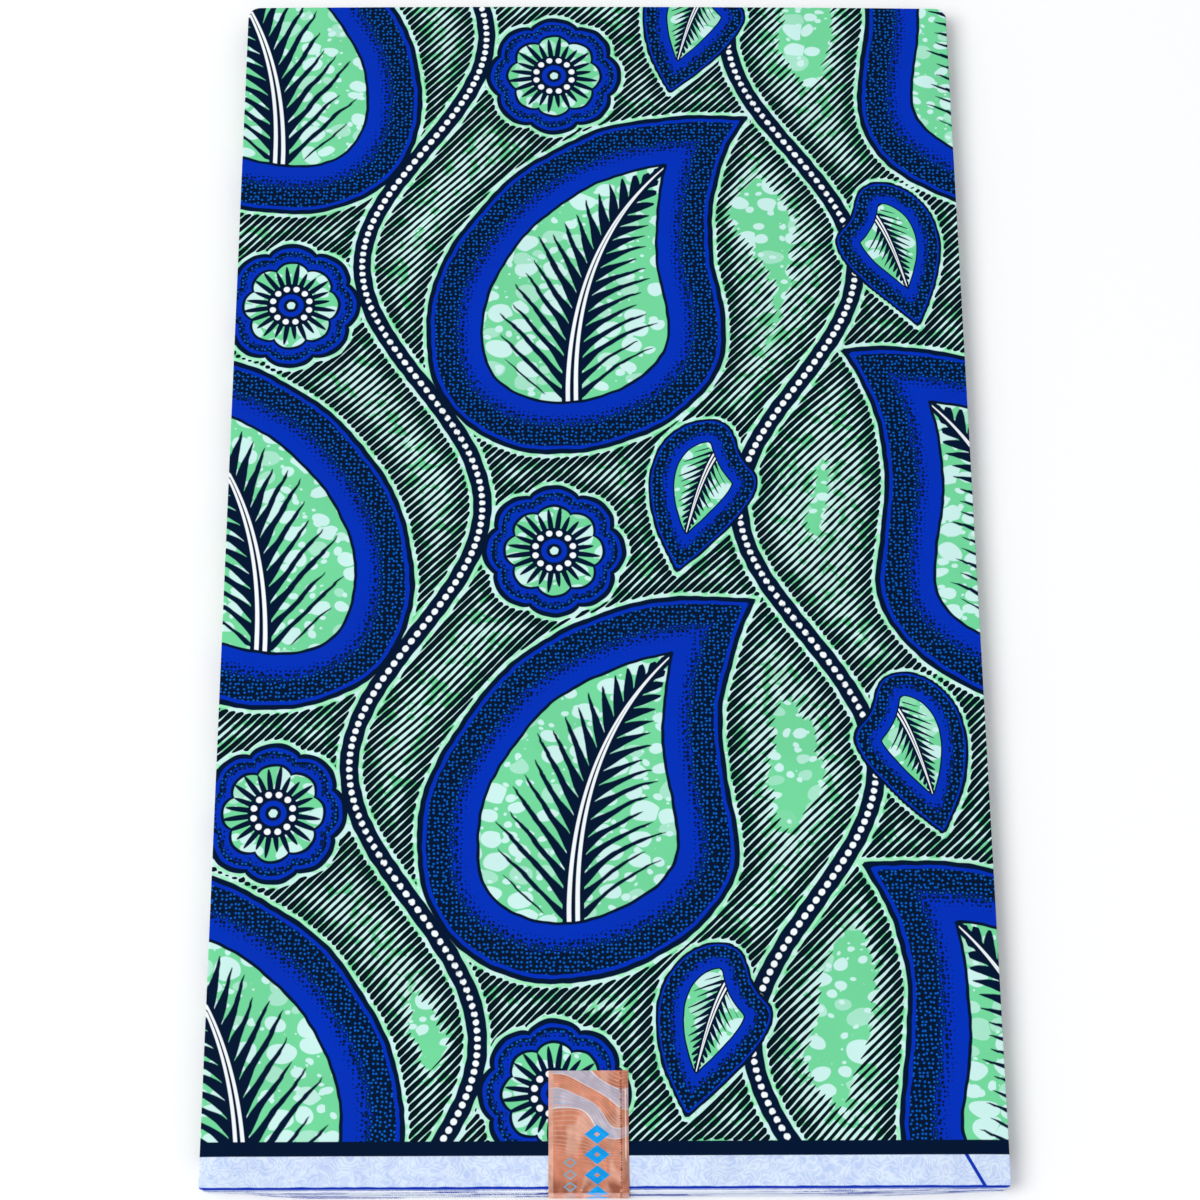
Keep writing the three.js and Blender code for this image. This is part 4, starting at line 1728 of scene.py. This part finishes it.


# %% [markdown]
# ## Copper foil
#
# The film is copper coloured, with light and dark clouds that are painted reflections. Broad silvery bands
# with pale outlines flow over its upper half, finer lines run along them, and the lower half has a fine
# slanting hatch. It is thin metal, so it takes the room's light and shows each dent, and painted shade
# darkens it where it bends over the edge. A plain column of blue lozenges decorates it, with a finer column
# of outlined ones beside it. Both are one folded distance, as the beads of a stem are.

# %% Foil material
# COPPER_LIGHT and COPPER_DARK colour the print, and below they also paint reflections, highlights and shade.
COPPER = srgb(222, 142, 112)
COPPER_LIGHT = srgb(238, 184, 162)
COPPER_DARK = srgb(150, 84, 62)
SILVER = srgb(174, 192, 218)
SILVER_LINE = srgb(232, 222, 226)
# SHINE is the colour of a painted highlight.
SHINE = srgb(255, 222, 208)
LOZENGE_BLUE = srgb(4, 165, 245)
FINE_BLUE = srgb(120, 186, 214)
FOIL_METALLIC = 0.72

# The flowing bands: how the strip's length sways, and what each kind of band and line takes of it.
FLOW_SWAY = 7.0
FLOW_SWAY_RUN = 8.0
FLOW_SWAY_START = 0.7
FLOW_DRIFT = 15.0
FLOW_RUN = 21.0
FLOW_END = 31.0
FLOW_END_EDGE = 0.4
SILVER_PITCH = 15.5
SILVER_RISE = (0.16, 0.24)
SILVER_SHARE = 0.8
OUTLINE_AT, OUTLINE_HALF, OUTLINE_EDGE = 0.2, 0.09, 0.04
OUTLINE_SHARE = 0.85
FINE_PITCH = 1.45
FINE_RISE = (0.35, 0.85)
FINE_FADE = 14.0
FINE_SHARE = 0.5
HATCH_PITCH = 1.15
HATCH_RISE = (0.0, 0.7)
HATCH_ACROSS = (13.0, 18.0)
HATCH_SHARE = 0.35


def flow_of(across, along):
    """The way along the strip, swayed so that its even steps make flowing bands."""
    drift = noise(across / FLOW_RUN, along / FLOW_RUN)
    sway = calculate("SINE", across / FLOW_SWAY_RUN + FLOW_SWAY_START)
    return along + FLOW_SWAY * sway + FLOW_DRIFT * (drift - 0.5)


def flowing_bands(color, across, along, flow, silver, upper):
    """Paints the silvery bands with their outlines, the fine lines and the slanting hatch."""
    line = smooth(sine(flow / FINE_PITCH), *FINE_RISE) * smooth(flow, FLOW_END + FINE_FADE, FLOW_END)
    hatch = smooth(sine((across - along) / HATCH_PITCH), *HATCH_RISE) * (1.0 - upper)
    outline = inside(abs(sine(flow / SILVER_PITCH) - OUTLINE_AT) - OUTLINE_HALF, OUTLINE_EDGE) * upper
    return paint(
        color,
        (SILVER, SILVER_SHARE * silver),
        (COPPER_LIGHT, FINE_SHARE * line),
        (COPPER_LIGHT, HATCH_SHARE * hatch * smooth(across, *HATCH_ACROSS)),
        (SILVER_LINE, OUTLINE_SHARE * outline),
    )


# %% Lozenges, clouds and margins of the foil
Column = namedtuple("Column", "middle half pitch first last line")
LOZENGES = Column(20.6, 5.4, 8.7, 23.2, 75.4, 2.07)
FINE_LOZENGES = Column(9.2, 2.9, 5.2, 37.0, 78.6, 0.495)
FINE_LOZENGE_SHARE = 0.9
LOZENGE_STEEPNESS = 1.28
LOZENGE_EDGE = 0.15
# The light and dark clouds of the copper are painted reflections.
CLOUD_WIDTH, CLOUD_LENGTH = 7.0, 16.0
LIGHT_CLOUD_RISE, LIGHT_CLOUD_SHARE = (0.46, 0.66), 0.75
DARK_CLOUD_RISE, DARK_CLOUD_SHARE = (0.50, 0.72), 0.42

# Where the strip bends over the edge, painted shade darkens it, in streaks that run along it.
BEND_AT = LABEL_END - FRONT_Y - BEND
BENT_RISE = (BEND_AT - 6.0, BEND_AT - 1.0)
BENT_FALL = (BEND_AT + 3.0, BEND_AT + 1.5)
BENT_LEAST, BENT_STREAKS = 0.25, 0.6
BENT_STREAK_WIDTH, BENT_STREAK_LENGTH = 3.4, 9.0
BENT_STREAK_RISE = (0.32, 0.66)

# A painted highlight lightens the left margin, and the right one is folded over, with a dark seam and a
# painted highlight line.
LEFT_HIGHLIGHT_TO = 2.0
LEFT_HIGHLIGHT_LEAST, LEFT_HIGHLIGHT_RUMPLED = 0.55, 0.4
FOLD_EDGE = 0.1
FOLD_SHARE = 0.38
SEAM_HALF = 0.25
SEAM_SHARE = 0.85
SHINE_FROM_RIGHT = 1.25
SHINE_HALF = 0.28
SHINE_EDGE = 0.15
SHINE_RISE, SHINE_FALL = (6.0, 9.0), (40.0, 36.0)
SHINE_SHARE = 0.85


def lozenge_column(across, along, column):
    """1 on the outlines of a column of lozenges."""
    turn = (along - column.first) / column.pitch
    step = abs(calculate("FRACT", turn) - 0.5) * column.pitch
    away = abs(across - column.middle) + LOZENGE_STEEPNESS * step - column.half
    ring = inside(abs(away + column.line) - column.line, LOZENGE_EDGE)
    return ring * inside(column.first - along) * inside(along - column.last)


def copper_with_painted_reflections(across, along):
    """Copper with painted reflections: light and dark clouds, longer than they are wide, that stand in for
    the room's light and shade on the film.
    """
    light, dark, _ = noises(across / CLOUD_WIDTH, along / CLOUD_LENGTH, 1.0)
    return paint(
        COPPER,
        (COPPER_LIGHT, LIGHT_CLOUD_SHARE * smooth(light, *LIGHT_CLOUD_RISE)),
        (COPPER_DARK, DARK_CLOUD_SHARE * smooth(dark, *DARK_CLOUD_RISE)),
    )


def painted_bend_shade(across, along):
    """How much painted shade darkens the bend over the edge."""
    bent = smooth(along, *BENT_RISE) * smooth(along, *BENT_FALL)
    streaks = smooth(noise(across / BENT_STREAK_WIDTH, along / BENT_STREAK_LENGTH), *BENT_STREAK_RISE)
    return bent * (BENT_LEAST + BENT_STREAKS * streaks)


def margins(color, across, along, rumpled):
    """Paints the left margin's painted highlight and the folded right one, with its dark seam and painted
    highlight line.
    """
    from_right = (LABEL_RIGHT - LABEL_LEFT) - across
    seam = inside(abs(from_right - MARGIN) - SEAM_HALF, FOLD_EDGE)
    # A painted highlight line along the folded margin.
    shine = inside(abs(from_right - SHINE_FROM_RIGHT) - SHINE_HALF, SHINE_EDGE)
    shine = shine * smooth(along, *SHINE_RISE) * smooth(along, *SHINE_FALL)
    # The light left strip and the shine line are painted highlights.
    return paint(
        color,
        (COPPER_LIGHT, inside(across - LEFT_HIGHLIGHT_TO) * (LEFT_HIGHLIGHT_LEAST + LEFT_HIGHLIGHT_RUMPLED * rumpled)),
        (COPPER_DARK, FOLD_SHARE * inside(from_right - MARGIN, FOLD_EDGE)),
        (COPPER_DARK, SEAM_SHARE * seam),
        (SHINE, SHINE_SHARE * shine),
    )


# %% The label in its film
RUMPLE_SIZE = 6.0
RUMPLE_STRENGTH = 0.6
RUMPLE_DEPTH = 0.00025
RUMPLE_SILVER, RUMPLE_FINE = 0.12, 0.05
FOIL_ROUGHNESS, RUMPLED_ROUGHNESS, SILVER_ROUGHNESS = 0.26, 0.16, 0.08


def foil_material():
    """The label's film."""
    material, tree, shader = new_material("label_foil", metallic=FOIL_METALLIC)
    place_on_strip = map_place(tree)
    across, along, _ = split(place_on_strip)
    rumpled = mask_from(MOTTLE, tree, {"Place": place_on_strip, "Size": RUMPLE_SIZE})
    flow = flow_of(across, along)
    upper = inside(flow - FLOW_END, FLOW_END_EDGE)
    silver = smooth(sine(flow / SILVER_PITCH), *SILVER_RISE) * upper
    # The copper's light and dark clouds are painted reflections.
    color = flowing_bands(copper_with_painted_reflections(across, along), across, along, flow, silver, upper)
    color = paint(
        color,
        # Painted shade where the strip bends over the edge.
        (COPPER_DARK, painted_bend_shade(across, along)),
        (FINE_BLUE, FINE_LOZENGE_SHARE * lozenge_column(across, along, FINE_LOZENGES)),
        (LOZENGE_BLUE, lozenge_column(across, along, LOZENGES)),
    )
    feed(shader.inputs["Base Color"], margins(color, across, along, rumpled))
    roughness = FOIL_ROUGHNESS + RUMPLED_ROUGHNESS * rumpled + SILVER_ROUGHNESS * silver
    feed(shader.inputs["Roughness"], roughness)
    relief = rumpled + RUMPLE_SILVER * silver + RUMPLE_FINE * sine(flow / FINE_PITCH)
    add_bump(shader, relief, RUMPLE_STRENGTH, RUMPLE_DEPTH)
    print(material.name, "has", len(tree.nodes), "nodes")
    return material


label_piece = label_strip(foil_material())

# %% Crimps of the folded margin
CRIMP_PITCH = 1.15
CRIMP_SPREAD = 0.16
CRIMP_SEED = 3
CRIMP_IN = 0.15
CRIMP_FOOT = (0.26, 0.55, -0.05)
CRIMP_TOP = (0.13, 0.42, 0.12)
CRIMP_CORNERS = ((-1, -1), (1, -1), (1, 1), (-1, 1))
CRIMP_MOTTLE_RUN = 2.2
CRIMP_MOTTLE_RISE = (0.42, 0.60)
CRIMP_ROUGHNESS, CRIMP_UNEVEN = 0.24, 0.2
FLOOR_CLEAR = 1.5


def crimp():
    """One pinch of the foil: a low ridge across the seam, with a foot that sits in the foil."""
    points = [(sx * half_x, sy * half_y, z) for half_x, half_y, z in (CRIMP_FOOT, CRIMP_TOP)
              for sx, sy in CRIMP_CORNERS]
    count = len(CRIMP_CORNERS)
    foot, top = list(range(count)), list(range(count, 2 * count))
    sides = list(zip(foot, foot[1:] + foot[:1], top[1:] + top[:1], top))
    return add_object("item", smooth_mesh("item", points, [foot[::-1], top, *sides]))


def crimped_material():
    """Foil of the pinches, painted lighter than the film round it as a highlight, with darker patches, and a
    little uneven.
    """
    material, tree, shader = new_material("crimped_foil", metallic=FOIL_METALLIC)
    _, y, z = pack_place(tree)
    crimp_mottle = noise(y / CRIMP_MOTTLE_RUN, z / CRIMP_MOTTLE_RUN)
    dark_patches = smooth(crimp_mottle, *CRIMP_MOTTLE_RISE)
    # COPPER_LIGHT on the crimps is a painted highlight.
    feed(shader.inputs["Base Color"], paint(COPPER_LIGHT, (COPPER_DARK, dark_patches)))
    feed(shader.inputs["Roughness"], CRIMP_ROUGHNESS + CRIMP_UNEVEN * crimp_mottle)
    return material


crimp_outer, _, _, crimp_outward = strip_skins(np.array([LABEL_RIGHT - MARGIN - CRIMP_IN]))
above_floor = crimp_outer[:, 0, 2] > FLOOR_CLEAR
crimp_lines = [Line(crimp_outer[above_floor, 0], crimp_outward[above_floor, 0])]
crimped = crimped_material()
crimps = repeat_along("label_crimps", crimp_lines, crimp(), CRIMP_PITCH, CRIMP_SPREAD, CRIMP_SEED, crimped)

# %% [markdown]
# ## The pieces on the body
#
# Each piece rides on the one body, and the solids of the cloth and the label are hidden, as these pieces take
# their place.

# %% Each piece on the body
for piece, node in ((face_sheet, "face_panel"), (layer_stack, "folded_layers"), (under_sheet, "under_panel")):
    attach(piece, "root")
    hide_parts(node)
for turns in (face_turns, stack_turns, under_turns):
    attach(turns, "root")
for piece in (label_piece, crimps):
    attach(piece, "root")
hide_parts("label")
